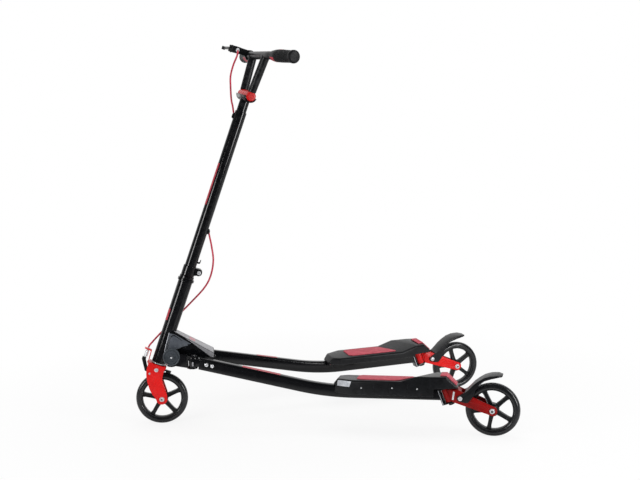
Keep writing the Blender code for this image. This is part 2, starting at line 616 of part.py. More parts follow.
def make_bar(bar):
    """Stem with its cradle, red crown barrel, V-leg handlebar and grips."""
    crown = (0, CROWN_S)
    stem = sleeve(0.0115, COLUMN_R - COLUMN_WALL - GAP, 0.6600, CROWN_S)
    cradle = extruded(arc(crown, 0.0180, 188, 352, 7) + arc(crown, CROWN_R + GAP, 352, 188, 7),
                      -0.0410, 0.0410)
    bed = cylinder(CROWN_R + GAP, -0.06, 0.06, "Y", crown, ROUND)
    slot = box(-0.020, -0.004, -0.0075, 0.0075, 0.65, 0.826)
    part("bar_stem", cut(united(stem, cradle), bed, slot), bar, "black")
    edge = 0.0012
    part("bar_crown", turned([(0, -CROWN_HALF), (CROWN_R - edge, -CROWN_HALF), (CROWN_R, -CROWN_HALF + edge),
                              (CROWN_R, CROWN_HALF - edge), (CROWN_R - edge, CROWN_HALF), (0, CROWN_HALF)],
                             "Y", crown), bar, "red")

    swept = Vector((math.sin(BAR_SWEEP) * math.cos(GRIP_RISE), math.cos(BAR_SWEEP) * math.cos(GRIP_RISE),
                    math.sin(GRIP_RISE)))
    bar_end = GRIP_END - 0.0080
    bend = Vector((0, BAR_BEND, BAR_S))
    near = bend - Vector((0, 0.010, 0))
    far = bend + swept * 0.010
    end = bend + swept * bar_end
    right = [near.lerp(bend, t).lerp(bend.lerp(far, t), t) for t in (0, 0.33, 0.67, 1)] + [end]
    left = [Vector((p.x, -p.y, p.z)) for p in reversed(right)]
    path = [bar_tilt() @ p for p in left + right]
    solid = rod(path, ring_of(BAR_R, BAR_SIDES))
    inner_r = BAR_R - BAR_WALL
    bore = rod([path[0] - (path[1] - path[0]).normalized() * 0.003] + path[1:-1]
               + [path[-1] + (path[-1] - path[-2]).normalized() * 0.003], ring_of(inner_r, BAR_SIDES))
    legs = []
    hollows = []
    for side in (-1, 1):
        top = bar_tilt() @ Vector((0, side * LEG_TOP_Y, BAR_S))
        foot = Vector((0, side * LEG_LOW_Y, CROWN_S))
        way = (foot - top).normalized()
        legs.append(rod([top, foot], ring_of(LEG_R, BAR_SIDES), (1, 0, 0)))
        inner = ring_of(LEG_R - BAR_WALL, BAR_SIDES)
        hollows.append(rod([top + way * 0.004, foot + way * 0.01], inner, (1, 0, 0)))
    bed = cylinder(CROWN_R + GAP, -0.06, 0.06, "Y", crown, ROUND)
    part("handlebar", cut(united(solid, *legs), bore, hollows[0], hollows[1], bed), bar, "black")

    inside = BAR_R + GAP
    stop = bar_end + GAP
    profile = [(0, GRIP_END), (0.0125, GRIP_END), (0.0163, GRIP_END - 0.0022), (0.0174, GRIP_END - 0.0055),
               (0.0174, GRIP_END - 0.0095), (0.0163, GRIP_END - 0.0150), (0.0169, 0.0850), (0.0166, 0.0550),
               (0.0156, 0.0340), (0.0164, 0.0305), (0.0164, 0.0230), (0.0156, GRIP_START),
               (inside, GRIP_START), (inside, stop), (0, stop)]
    for name, side in (("left", -1), ("right", 1)):
        part("grip_" + name, moved(turned(profile, sides=18), grip_frame(side)), bar, "rubber")


def make_hand_brake(bar, steer):
    """Brake perch, lever and cable adjuster on the right; flat shapes are (along the bar, forward)."""
    frame = (bar_tilt() @ Matrix.Translation((0, BAR_BEND, BAR_S)) @ Matrix.Rotation(-BAR_SWEEP, 4, "Z")
             @ Matrix.Rotation(GRIP_RISE, 4, "X")
             @ Matrix(((0, -1, 0, 0), (1, 0, 0, 0), (0, 0, 1, 0), (0, 0, 0, 1))))
    pivot = LEVER_PIVOT[:2]
    level = LEVER_PIVOT[2]
    ring = turned([(0, 0.0088), (0.0152, 0.0088), (0.0152, 0.0196), (0, 0.0196)])
    ring.transform(Matrix.Rotation(math.radians(90), 4, "Y"))
    body = extruded([(0.0088, 0.0090), (0.0196, 0.0090), (0.0196, 0.0280), (0.0240, 0.0380), (0.0340, 0.0450),
                     (0.0368, 0.0540), (0.0335, 0.0605), (0.0270, 0.0618), (0.0120, 0.0520), (0.0045, 0.0450),
                     (0.0045, 0.0330), (0.0088, 0.0280)], level - 0.0092, level + 0.0092, "Z")
    clear_bar = cylinder(BAR_R + GAP, -0.02, 0.06, sides=BAR_SIDES)
    clear_bar.transform(Matrix.Rotation(math.radians(90), 4, "Y"))
    slot = extruded([(0.0165, 0.0468), (0.0650, 0.0300), (0.0650, 0.0900), (0.0165, 0.0900)], level - 0.0038,
                    level + 0.0038, "Z")
    pin = cylinder(0.0025, level - 0.0107, level + 0.0107, "Z", pivot)
    way = Vector((-0.93, 0, -0.37)).normalized()
    seat = Vector((0.0065, 0.0388, 0.0068))
    aim = way.to_track_quat("Z", "Y").to_matrix().to_4x4()
    socket = moved(cylinder(0.0033, 0.0015, 0.0200), Matrix.Translation(seat) @ aim)
    perch = united(cut(united(ring, body), clear_bar, slot, socket), pin)
    part("brake_perch", moved(perch, frame), bar, "plastic")

    barrel = turned([(0, 0.0018), (0.0030, 0.0018), (0.0030, 0.0085), (0.0052, 0.0085), (0.0052, 0.0150),
                     (0.0038, 0.0165), (0.0038, 0.0190), (0, 0.0190)], sides=SMALL_ROUND)
    part("lever_adjuster", moved(moved(barrel, Matrix.Translation(seat) @ aim), frame), bar, "silver")

    outline = [(0.0222, 0.0550), (0.0240, 0.0498), (0.0290, 0.0478), (0.0350, 0.0495), (0.0470, 0.0565),
               (0.0720, 0.0608), (0.1030, 0.0652), (0.1080, 0.0700), (0.1020, 0.0722), (0.0700, 0.0676),
               (0.0420, 0.0640), (0.0260, 0.0612)]
    lever = united(extruded(outline, level - 0.0034, level + 0.0034, "Z"),
                   cylinder(0.0054, level - 0.0048, level + 0.0048, "Z", (0.1070, 0.0692)))
    lever = moved(cut(lever, cylinder(0.0028, -0.02, 0.02, "Z", pivot)), frame)
    part("brake_lever", lever, bar, "plastic", origin=frame @ Vector(LEVER_PIVOT))

    turn = Matrix.Rotation(BAR_TURN, 4, "Z") @ frame
    start = turn @ (seat + way * (0.0190 + 2 * GAP))
    onward = [turn @ (seat + way * reach) for reach in (0.0240, 0.0285)]
    upper = [start, *onward, (-0.0578, 0.0605, 0.9700), (-0.0596, 0.0560, 0.9440), (-0.0575, 0.0485, 0.9134),
             (-0.0490, 0.0390, 0.8867), (-0.0360, 0.0195, 0.8530), (-0.0268, 0.0071, 0.8366),
             (-0.0228, 0.0048, 0.8285), (-0.0190, 0.0028, 0.8208)]
    cord("cable_upper", upper, CABLE_R, 26, steer, "cable")
    cord("cable_lower", CABLE_LOWER, CABLE_R, 62, steer, "cable")


def arm_path():
    """Points of the right arm's middle line, relative to its pin, and the frame of its first run."""
    heading = Vector((math.cos(ARM_HEADING), math.sin(ARM_HEADING), 0))
    start = Vector(ARM_START)
    bend = Vector(ARM_BEND)
    before = 0.0254 + ARM_END_RISE * math.tan(SWIVEL_TILT)
    end = Vector(SWIVEL) - heading * before + Vector((0, 0, ARM_END_RISE))
    first = (bend - start).normalized()
    second = (end - bend).normalized()
    enter = bend - first * BEND_REACH
    leave = bend + second * BEND_REACH
    path = [start - first * 0.0005]
    for i in range(6):
        t = i / 5
        path.append(enter.lerp(bend, t).lerp(bend.lerp(leave, t), t))
    path.append(end)
    path = [p - Vector(PIN) for p in path]
    side = Vector((0, 0, 1)).cross(first).normalized()
    up = first.cross(side)
    place = start - Vector(PIN)
    frame = Matrix(((first.x, side.x, up.x, place.x), (first.y, side.y, up.y, place.y),
                    (first.z, side.z, up.z, place.z), (0, 0, 0, 1)))
    return path, frame


ARM_BOLTS = (0.0200, 0.0365)


def arm_meshes():
    """Arm tube and the knuckle bolted into its front end."""
    path, frame = arm_path()
    outer = rounded(ARM_WIDE, ARM_HIGH, 0.0065, 2)
    inner = rounded(ARM_WIDE - 2 * ARM_WALL, ARM_HIGH - 2 * ARM_WALL, 0.0045, 2)
    tube = pipe(path, outer, inner, end_slope=math.tan(SWIVEL_TILT))
    holes = [moved(cylinder(0.0030, -0.03, 0.03, "Y", (x, 0.0020), 8), frame) for x in ARM_BOLTS]
    tube = cut(tube, *holes)
    eye = cylinder(0.0125, -EYE_HIGH / 2, EYE_HIGH / 2, sides=18)
    inside_wide = ARM_WIDE / 2 - ARM_WALL - GAP
    inside_high = EYE_HIGH / 2 - 0.0027
    tongue = rod([(-0.0170, 0, 0), (0.0450, 0, 0)], rounded(2 * inside_wide, 2 * inside_high, 0.0045, 2))
    bolts = [bolt(0.0026, 0.0048, ARM_WIDE / 2 + GAP, 0.0028, "Y", (x, 0.0020), 8) for x in ARM_BOLTS]
    knuckle = united(eye, moved(tongue, frame), *[moved(piece, frame) for piece in bolts])
    knuckle = cut(knuckle, cylinder(PIN_R + GAP, -0.03, 0.03))
    return tube, knuckle


def deck_matrix():
    """Frame of the right deck: a along it from the nose, b outward, n off its top; relative to the pin."""
    c = math.cos(ARM_HEADING)
    s = math.sin(ARM_HEADING)
    ct = math.cos(DECK_TILT)
    st = math.sin(DECK_TILT)
    back = (DECK_X - DECK_NOSE_X) / c
    nose = Vector((DECK_NOSE_X, DECK_Y - back * s, DECK_TOP)) - Vector(PIN)
    return Matrix(((c, -s * ct, s * st, nose.x), (s, c * ct, -c * st, nose.y), (0, st, ct, nose.z),
                   (0, 0, 0, 1)))


# Deck stations: a on the outer side, a on the inner side, half widths outward and inward, height.
DECK_STATIONS = [
    (0.0000, 0.0000, 0.0180, 0.0280, -0.0135),
    (0.0110, 0.0110, 0.0230, 0.0320, 0.0000),
    (0.0520, 0.0300, 0.0430, 0.0430, 0.0000),
    (0.1840, 0.2320, 0.0430, 0.0430, 0.0000),
    (0.2280, 0.2770, 0.0430, 0.0430, DECK_HUMP),
    (0.2790, 0.2790, 0.0425, 0.0425, DECK_HUMP),
    (0.3050, 0.3050, 0.0372, 0.0372, DECK_HUMP),
    (0.3360, 0.3360, 0.0300, 0.0300, -0.0148),
]
SKIRT_OUT = 0.0395
SKIRT_IN = 0.0191
RIB = (-0.0065, 0.0230)
TAIL_CLEAR_Z = 0.1295


def pocket(stations, low, high):
    """Hollow below the deck's skin between two lines beside the rib."""
    loops = []
    for a_out, a_in, w_out, w_in, h in stations:
        b0 = max(low, -w_in + DECK_WALL)
        b1 = min(high, w_out - DECK_WALL)
        near = a_in + (a_out - a_in) * (b0 + w_in) / (w_out + w_in)
        far = a_in + (a_out - a_in) * (b1 + w_in) / (w_out + w_in)
        roof = h - DECK_SKIN
        loops.append([(near, b0, -0.06), (far, b1, -0.06), (far, b1, roof), (near, b0, roof)])
    return loops_mesh(loops)


def deck_mesh():
    """Moulded deck: flat front, skewed ramp to a heel hump, and a hood over the castor's head."""
    chamfer = 0.0035
    loops = []
    for a_out, a_in, w_out, w_in, h in DECK_STATIONS:
        loops.append([(a_out, w_out, -SKIRT_OUT), (a_out, w_out, h - chamfer), (a_out, w_out - chamfer, h),
                      (a_in, chamfer - w_in, h), (a_in, -w_in, h - chamfer), (a_in, -w_in, -SKIRT_IN)])
    shell = loops_mesh(loops)
    middle = DECK_STATIONS[2:6]
    outer = pocket([(0.0380, 0.0380, 0.0330, 0.0300, 0.0)] + middle, RIB[1], 1)
    inner = pocket([(0.0190, 0.0190, 0.0240, 0.0320, 0.0)] + middle, -1, RIB[0])
    path, frame = arm_path()
    half = ARM_WIDE / 2 + 0.0006
    top = ARM_HIGH / 2 + GAP
    channel = rod(path[1:-1] + [path[-1] + (path[-1] - path[-2]).normalized() * 0.05],
                  [(half, top), (-half, top), (-half, -0.06), (half, -0.06)])
    frame = deck_matrix()
    side = 0.0372 - DECK_WALL
    hood = loops_mesh([[(a, -w, -0.06), (a, w, -0.06), (a, w, n), (a, -w, n)] for a, w, n in (
        (0.2640, side + 0.003, 0.0085), (0.3020, side, 0.0085), (0.3302, side - 0.0055, -0.0155),
        (0.3510, side - 0.0110, -0.0340))])
    frame_in = frame.inverted()
    corners = [(0.272, -0.08), (0.36, -0.08), (0.36, 0.08), (0.272, 0.08)]
    under = []
    for level in (0.05, TAIL_CLEAR_Z):
        flat = (level - DECK_TOP) / math.cos(DECK_TILT)
        under.append([(a, b, flat - b * math.tan(DECK_TILT)) for a, b in corners])
    deck = cut(shell, outer, inner, hood, loops_mesh(under), moved(channel, frame_in))
    return moved(deck, frame)


def slab(outline, low, thick):
    """Flat pad lying on the deck; the outline is (a, b)."""
    return extruded(outline, low, low + thick, "Z")


def pad_meshes():
    """Rubber pads: one on the flat, one bent over the heel hump."""
    frame = deck_matrix()
    front = slab([(0.0640, -0.0220), (0.0640, 0.0220), (0.0740, 0.0300), (0.1700, 0.0300), (0.1820, 0.0240),
                  (0.2150, -0.0250), (0.2105, -0.0300), (0.0740, -0.0300)], GAP, 0.0022)
    lift = 0.0005
    loops = []
    for a, w, h, thick in ((0.2890, 0.0248, DECK_HUMP, 0.0026), (0.3050, 0.0232, DECK_HUMP, 0.0034),
                           (0.3325, 0.0181, -0.0115, 0.0040)):
        low = h + lift
        high = low + thick
        loops.append([(a, -w, low), (a, w, low), (a, w, high), (a, -w, high)])
    return moved(front, frame), moved(loops_mesh(loops), frame)


def mount_mesh():
    """Bracket at the arm's end with two lugs and the kingpin, in the frame of the leaning axis."""
    spine = box(-0.0235, -0.0144, -0.0120, 0.0120, -LUG_TOP, LUG_TOP)
    tenon = rod([(-0.0460, 0, ARM_END_RISE), (-0.0120, 0, ARM_END_RISE)],
                rounded(ARM_WIDE - 2 * ARM_WALL - 2 * GAP, ARM_HIGH - 2 * ARM_WALL - 2 * GAP, 0.0045, 2))
    tenon = moved(tenon, Matrix.Rotation(SWIVEL_TILT, 4, "Y"))
    tenon = cut(tenon, box(-0.0200, 0.0200, -0.02, 0.02, -0.04, 0.04))
    pieces = [tenon]
    for low, high in ((-LUG_TOP, -LUG_LOW), (LUG_LOW, LUG_TOP)):
        pieces.append(extruded([(-0.0200, -0.0120), (0.0, -0.0140)] + arc((0, 0), 0.0140, -80, 80, 8)
                               + [(0.0, 0.0140), (-0.0200, 0.0120)], low, high, "Z"))
    pieces.append(turned([(0, -0.0295), (0.0050, -0.0295), (0.0050, -0.0285), (0.0085, -0.0285),
                          (0.0085, -0.0215), (KINGPIN_R, -0.0215), (KINGPIN_R, 0.0215), (0.0085, 0.0215),
                          (0.0085, 0.0265), (0, 0.0265)], sides=12))
    return united(spine, *pieces)


def castor_mesh():
    """Castor fork: barrel on the kingpin, block behind it and two side plates, with the fender's pin."""
    axle = (TRAIL, WHEEL_R - SWIVEL[2])
    plate = [(0.0080, 0.0155), (0.0190, 0.0168), (0.0300, 0.0170), (TRAIL, WHEEL_R - 0.0943)]
    plate += arc(axle, 0.0135, 85, -85, 8)
    plate += [(0.0120, -0.0148)]
    outline = [inclined(d, z) for d, z in plate]
    side = extruded(outline, PLATE_IN, PLATE_OUT)
    block = extruded([(0.0060, -0.0140), (0.0060, 0.0165), (0.0140, 0.0165), (0.0335, 0.0060),
                      (0.0379, -0.0010), (0.0335, -0.0140)], -PLATE_IN - 0.001, PLATE_IN + 0.001)
    barrel = cylinder(0.0140, -0.0180, 0.0180, sides=18)
    body = united(side, mirrored(side), block, barrel)
    hole = cylinder(AXLE_R + GAP, -0.03, 0.03, "Y", inclined(*axle))
    body = cut(body, cylinder(KINGPIN_R + GAP, -0.04, 0.04), hole)
    return united(body, bolt(0.0030, 0.0056, 0.0235 + GAP, 0.0026, "Y", inclined(0.034, -0.004), 8))


def fender_meshes():
    """Press-down fender brake and the steel strip under it."""
    centre = (TRAIL, WHEEL_R - SWIVEL[2])

    def around(clear, angle):
        a = math.radians(angle)
        radius = WHEEL_R + clear
        return (centre[0] + radius * math.cos(a), centre[1] + radius * math.sin(a))

    outline = arc((0.0340, -0.0040), 0.0092, 150, 280, 6)
    outline += [(0.0440, -0.0152), (0.0540, -0.0158), (0.0640, -0.0040), (0.0705, 0.0060)]
    outline += [around(*p) for p in ((-0.0015, 128), (0.0030, 119), (0.0100, 111), (0.0114, 102.4),
                                     (0.0150, 91.2), (0.0194, 81.9), (0.0233, 74.3))]
    outline += [around(*p) for p in ((0.0268, 74.1), (0.0254, 81.8), (0.0224, 93.6), (0.0197, 103.4),
                                     (0.0156, 114.5), (0.0133, 124.6))]
    outline += [around(0.0112, 135.2), (0.0500, 0.0150), (0.0420, 0.0110)]
    body = extruded([inclined(d, z) for d, z in outline], -0.0235, 0.0235)
    under = [(0.0150, -0.0300), (0.0150, 0.0300), (0.0455, 0.0300), (0.0455, 0.0112), (0.0530, 0.0126)]
    under += [around(*p) for p in ((0.0071, 135.6), (0.0087, 125.6), (0.0110, 114.9), (0.0152, 103.3),
                                   (0.0182, 93.5), (0.0215, 80.5), (0.0226, 76.0))]
    under += [around(-0.0124, 67.5), around(-0.0341, 171.8)]
    inside = extruded([inclined(d, z) for d, z in under], -PLATE_OUT - GAP, PLATE_OUT + GAP)
    tip = inclined(*around(0.0268, 74.1))[0]
    corner = [(tip - 0.0230, 0.0300), (tip - 0.0230, 0.0240), (tip - 0.0085, 0.0200), (tip, 0.0110),
              (tip + 0.0250, 0.0110), (tip + 0.0250, 0.0300)]
    corners = [extruded([(x, side * y) for x, y in corner], -0.05, 0.10, "Z") for side in (-1, 1)]
    bore = cylinder(0.0033, -0.04, 0.04, "Y", inclined(0.034, -0.004))
    fender = cut(body, inside, bore, *corners)
    line = [around(0.0037, a) for a in (144, 134, 124, 114)]
    line += [around(*p) for p in ((0.0106, 103.5), (0.0150, 93.9), (0.0178, 84.9), (0.0206, 76.8))]
    path = [(x, 0, z) for x, z in (inclined(d, z) for d, z in line)]
    strip = rod(path, [(0.0110, 0.0010), (-0.0110, 0.0010), (-0.0110, -0.0010), (0.0110, -0.0010)])
    return fender, strip


def make_sides(base):
    """Arm, deck and castor on both sides."""
    tube, knuckle = arm_meshes()
    deck = deck_mesh()
    front_pad, heel_pad = pad_meshes()
    mount = mount_mesh()
    castor = castor_mesh()
    fender, strip = fender_meshes()
    axle_at = inclined(TRAIL, WHEEL_R - SWIVEL[2])
    fender_at = (*inclined(0.034, -0.004),)
    pivot = Vector(SWIVEL) - Vector(PIN)
    for name, side, turn, phase in (("left", -1, TURN_LEFT, math.radians(-16)),
                                    ("right", 1, TURN_RIGHT, math.radians(-19))):
        arm = empty("arm_axis_" + name, base, (PIN[0], side * PIN[1], PIN[2]))
        for piece, mesh, colour in (("arm_", tube, "black"), ("knuckle_", knuckle, "charcoal"),
                                    ("deck_", deck, "plastic"), ("front_pad_", front_pad, "pad"),
                                    ("heel_pad_", heel_pad, "pad")):
            part(piece + name, side_piece(mesh, side), arm, colour)
        neutral = empty("swivel_" + name, arm, (pivot.x, side * pivot.y, pivot.z),
                        (0, -SWIVEL_TILT, side * ARM_HEADING))
        part("castor_mount_" + name, mount.copy(), neutral, "charcoal")
        castor_axis = empty("castor_axis_" + name, neutral, (0, 0, 0), (0, 0, side * turn))
        part("castor_fork_" + name, castor.copy(), castor_axis, "red")
        pivot_at = (fender_at[0], 0, fender_at[1])
        part("fender_" + name, fender.copy(), castor_axis, "plastic", origin=pivot_at)
        part("fender_strip_" + name, strip.copy(), castor_axis, "silver", origin=pivot_at)
        part("castor_axle_" + name, bolt(AXLE_R, 0.0072, PLATE_OUT + GAP, 0.0045, "Y", axle_at), castor_axis,
             "silver")
        make_wheel(name, castor_axis, axle_at, PLATE_IN - GAP, phase)


def build():
    for obj in list(bpy.data.objects):
        bpy.data.objects.remove(obj, do_unlink=True)
    base = empty("scooter", None, (FRONT_AXLE_X, CENTRE_Y, 0))
    fold = empty("fold_axis", base, HUB)
    head = empty("head_base", fold, -Vector(HUB))
    rake = empty("head_frame", head, AXIS_POINT, (0, RAKE, 0))
    steer = empty("steering_axis", rake)
    bar = empty("bar_frame", steer, (0, 0, 0), (0, 0, BAR_TURN))
    make_yoke(base)
    make_head(head, rake)
    make_fork(steer)
    make_column(steer)
    make_front_brake(steer)
    make_wheel("front", steer, (AXLE_OFFSET, 0.0), BLADE_IN - GAP, math.radians(-18) - RAKE)
    make_bar(bar)
    make_hand_brake(bar, steer)
    make_sides(base)
    for mesh in [m for m in bpy.data.meshes if m.users == 0]:
        bpy.data.meshes.remove(mesh)


build()
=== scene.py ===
"""A swing scooter in black and red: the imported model's looks, with finer pieces in place of its solids."""
import json
import math

import bmesh
import bpy
from mathutils import Matrix, Vector


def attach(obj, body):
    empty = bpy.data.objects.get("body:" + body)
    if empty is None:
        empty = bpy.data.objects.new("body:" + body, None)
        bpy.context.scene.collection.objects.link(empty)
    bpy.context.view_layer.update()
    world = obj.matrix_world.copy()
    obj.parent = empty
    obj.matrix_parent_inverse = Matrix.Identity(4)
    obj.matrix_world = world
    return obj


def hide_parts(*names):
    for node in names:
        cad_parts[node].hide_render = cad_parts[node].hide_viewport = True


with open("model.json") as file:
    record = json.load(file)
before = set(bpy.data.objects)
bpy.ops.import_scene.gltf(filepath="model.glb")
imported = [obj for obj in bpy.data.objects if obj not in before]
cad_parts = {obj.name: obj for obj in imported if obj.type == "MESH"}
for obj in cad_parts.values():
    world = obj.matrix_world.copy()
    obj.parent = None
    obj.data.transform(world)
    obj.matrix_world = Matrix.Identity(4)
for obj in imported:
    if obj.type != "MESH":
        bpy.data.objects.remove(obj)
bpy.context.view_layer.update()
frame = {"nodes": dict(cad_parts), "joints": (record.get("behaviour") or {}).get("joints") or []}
NODES = frame["nodes"]
JOINTS = {joint["name"]: joint for joint in frame["joints"]}

# Places and turns of the scooter's parts, metres and radians.

QUARTER = math.radians(90)
RAKE = math.radians(19.8)
AXLE_OFFSET = 0.0400
ROCKER_HIGH = 0.0750
BAR_TURN = math.radians(16.3)
BAR_TILT = math.radians(-3.3)
BAR_SWEEP = math.radians(11.0)
GRIP_RISE = math.radians(2.0)
BAR_HIGH = 0.9900
BAR_BEND = 0.0800
CROWN_HIGH = 0.8770
PIN = (0.0920, 0.0515, 0.1800)
SWIVEL_TILT = math.radians(20.0)
ARM_HEADING = math.radians(15.8)
CASTOR_TURN = {"left": math.radians(3.3), "right": math.radians(-4.6)}
SIDES = {"left": -1, "right": 1}
DECK_NOSE = (0.0333, 0.1369, 0.1442)
DECK_TILT = math.radians(4.2)
MIDDLE_Y = 0.0100


def shift(x, y, z):
    return Matrix.Translation((x, y, z))


def turn(angle, axis):
    return Matrix.Rotation(angle, 4, axis)


def outward(side):
    """Lays what stands on z = 0 along y, away from the middle on the side of that sign."""
    return turn(-side * QUARTER, "X")


def frame_of(x_way, y_way, z_way, origin):
    place = Matrix((x_way, y_way, z_way)).transposed().to_4x4()
    place.translation = origin
    return place


def at_joint(name):
    return Matrix.Translation(JOINTS[name]["pos_m"])


def inclined(d, z):
    """Castor point, level from the swivel, given in the frame of the leaning axis."""
    c = math.cos(SWIVEL_TILT)
    s = math.sin(SWIVEL_TILT)
    return (d * c + z * s, z * c - d * s)


def grip_frame(side):
    """Frame at a bend of the bar, z along the grip."""
    return (BAR @ LEAN @ shift(0, side * BAR_BEND, BAR_HIGH) @ turn(-side * BAR_SWEEP, "Z")
            @ turn(side * (GRIP_RISE - QUARTER), "X"))


BASE = shift(-0.4427, MIDDLE_Y, 0)
HUB = BASE @ shift(0.0320, 0, 0.1980)
STEER = at_joint("steering") @ turn(RAKE, "Y")
FRONT_AXLE = STEER @ shift(AXLE_OFFSET, 0, 0)
BAR = STEER @ turn(BAR_TURN, "Z")
LEAN = shift(0, 0, BAR_HIGH) @ turn(BAR_TILT, "X") @ shift(0, 0, -BAR_HIGH)
SWIVEL = {}
CASTOR = {}
for side_name, side_sign in SIDES.items():
    SWIVEL[side_name] = (
        at_joint("castor_swivel_" + side_name) @ turn(side_sign * ARM_HEADING, "Z")
        @ turn(-SWIVEL_TILT, "Y"))
    CASTOR[side_name] = SWIVEL[side_name] @ turn(side_sign * CASTOR_TURN[side_name], "Z")
axle_x, axle_z = inclined(0.1180, -0.0355)
CASTOR_AXLE = {name: CASTOR[name] @ shift(axle_x, 0, axle_z) for name in SIDES}
DECK_ALONG = Vector((math.cos(ARM_HEADING), math.sin(ARM_HEADING), 0))
DECK_OUT = Vector((
    -math.sin(ARM_HEADING) * math.cos(DECK_TILT), math.cos(ARM_HEADING) * math.cos(DECK_TILT),
    math.sin(DECK_TILT)))
DECK = frame_of(DECK_ALONG, DECK_OUT, DECK_ALONG.cross(DECK_OUT), DECK_NOSE)
MIRROR = shift(0, MIDDLE_Y, 0) @ Matrix.Scale(-1, 4, (0, 1, 0)) @ shift(0, -MIDDLE_Y, 0)

# Shader nodes.

# Colour sockets of a Mix node; its named sockets A, B and Result carry single values.
COLOUR_A, COLOUR_B, COLOUR_OUT = 6, 7, 2


def feed(tree, node, inputs):
    """Gives each input of a node its value, or the output that feeds it."""
    for label, value in inputs.items():
        if isinstance(value, bpy.types.NodeSocket):
            tree.links.new(value, node.inputs[label])
        else:
            node.inputs[label].default_value = value


def add_node(tree, kind, inputs, **settings):
    node = tree.nodes.new("ShaderNode" + kind)
    for label, value in settings.items():
        setattr(node, label, value)
    feed(tree, node, inputs)
    return node


def coordinate(tree, kind="Object"):
    return add_node(tree, "TexCoord", {}).outputs[kind]


def along_y(tree, place):
    return add_node(tree, "SeparateXYZ", {0: place}).outputs["Y"]


def product(tree, first, second):
    return add_node(tree, "Math", {0: first, 1: second}, operation="MULTIPLY").outputs[0]


def ramp(tree, value, low, high, start=0.0, end=1.0):
    """Value stretched so that low and high become start and end, and held there beyond them."""
    spans = {"Value": value, "From Min": low, "From Max": high, "To Min": start, "To Max": end}
    return add_node(tree, "MapRange", spans).outputs[0]


def between(tree, share, first, second):
    return add_node(tree, "Mix", {"Factor": share, "A": first, "B": second}).outputs["Result"]


def blend(tree, share, first, second):
    """Colour between two colours."""
    sources = {"Factor": share, COLOUR_A: first, COLOUR_B: second}
    return add_node(tree, "Mix", sources, data_type="RGBA").outputs[COLOUR_OUT]


def noise(tree, scale, detail):
    sources = {"Vector": coordinate(tree), "Scale": scale, "Detail": detail}
    return add_node(tree, "TexNoise", sources).outputs["Fac"]


# Camera, lamps and floor.

def new_object(name, data):
    made = bpy.data.objects.new(name, data)
    bpy.context.scene.collection.objects.link(made)
    return made


def make_camera():
    yaw, pitch, roll = 0.0868, 0.1270, -0.0186
    ahead = Vector((math.sin(yaw) * math.cos(pitch), math.cos(yaw) * math.cos(pitch), -math.sin(pitch)))
    level = Vector((math.cos(yaw), -math.sin(yaw), 0))
    upright = level.cross(ahead)
    across = level * math.cos(roll) + upright * math.sin(roll)
    high = upright * math.cos(roll) - level * math.sin(roll)
    data = bpy.data.cameras.new("camera")
    data.lens = 61.875
    data.sensor_width = 36
    data.shift_x = -0.00086
    data.shift_y = 0.00070
    camera = new_object("camera", data)
    camera.matrix_world = frame_of(across, high, -ahead, (-0.2523, -3.0321, 0.8940))
    bpy.context.scene.camera = camera


def softbox(name, place, aim, wide, high, power, mirrored=True):
    """Lamp with a square or oblong face; one that isn't mirrored stays out of the glossy finishes."""
    data = bpy.data.lights.new(name, "AREA")
    data.shape = "RECTANGLE"
    data.size = wide
    data.size_y = high
    data.energy = power
    lamp = new_object(name, data)
    lamp.location = place
    lamp.rotation_euler = (Vector(aim) - Vector(place)).to_track_quat("-Z", "Y").to_euler()
    lamp.visible_glossy = mirrored


def make_light():
    """White to the camera, dim to the object, and paler behind it than in front in what metal mirrors."""
    scene = bpy.context.scene
    scene.view_settings.view_transform = "Standard"
    world = bpy.data.worlds.new("studio")
    scene.world = world
    world.use_nodes = True
    tree = world.node_tree
    path = add_node(tree, "LightPath", {}).outputs
    mirrors = {0: path["Is Glossy Ray"], 1: path["Is Transmission Ray"]}
    shiny = add_node(tree, "Math", mirrors, operation="MAXIMUM")
    backdrop = ramp(tree, along_y(tree, coordinate(tree, "Generated")), 0.0, 0.80, 0.04)
    seen = between(tree, shiny.outputs[0], 0.34, backdrop)
    strength = between(tree, path["Is Camera Ray"], seen, 1.0)
    feed(tree, tree.nodes["Background"], {"Strength": strength, "Color": (1, 1, 1, 1)})
    softbox("key", (-1.7, -2.2, 2.3), (0, 0, 0.3), 1.2, 1.2, 17, False)
    softbox("left_box", (-2.25, -1.45, 0.80), (-0.40, 0, 0.40), 0.62, 0.80, 18)
    softbox("right_low_box", (1.45, -1.65, 0.36), (-0.35, 0, 0.75), 0.60, 0.62, 14)
    softbox("right_high_box", (1.90, -1.30, 1.40), (0.10, 0, 0.20), 0.70, 0.80, 16)
    softbox("overhead", (0.2, 0.3, 2.6), (0, 0, 0), 1.6, 1.6, 22, False)


def make_floor():
    """White floor with the object's shadow near it; what metal mirrors of it is dark in front."""
    bpy.ops.mesh.primitive_circle_add(vertices=96, radius=9, fill_type="NGON")
    floor = bpy.context.object
    floor.name = "floor"
    finish = bpy.data.materials.new("pale_floor")
    finish.use_nodes = True
    tree = finish.node_tree
    shader = tree.nodes["Principled BSDF"]
    place = coordinate(tree)
    path = add_node(tree, "LightPath", {}).outputs
    in_front = product(tree, path["Is Glossy Ray"], ramp(tree, along_y(tree, place), -0.34, -0.56))
    distance = add_node(tree, "VectorMath", {0: place}, operation="LENGTH").outputs["Value"]
    bright = product(tree, path["Is Camera Ray"], ramp(tree, distance, 0.35, 1.25, 0.84))
    tone = blend(tree, in_front, (0.93, 0.93, 0.93, 1), (0.10, 0.10, 0.11, 1))
    feed(tree, shader, {"Base Color": tone, "Roughness": 0.9})
    white = add_node(tree, "Emission", {}).outputs[0]
    shown = add_node(tree, "MixShader", {0: bright, 1: shader.outputs[0], 2: white}).outputs[0]
    feed(tree, tree.nodes["Material Output"], {"Surface": shown})
    floor.data.materials.append(finish)


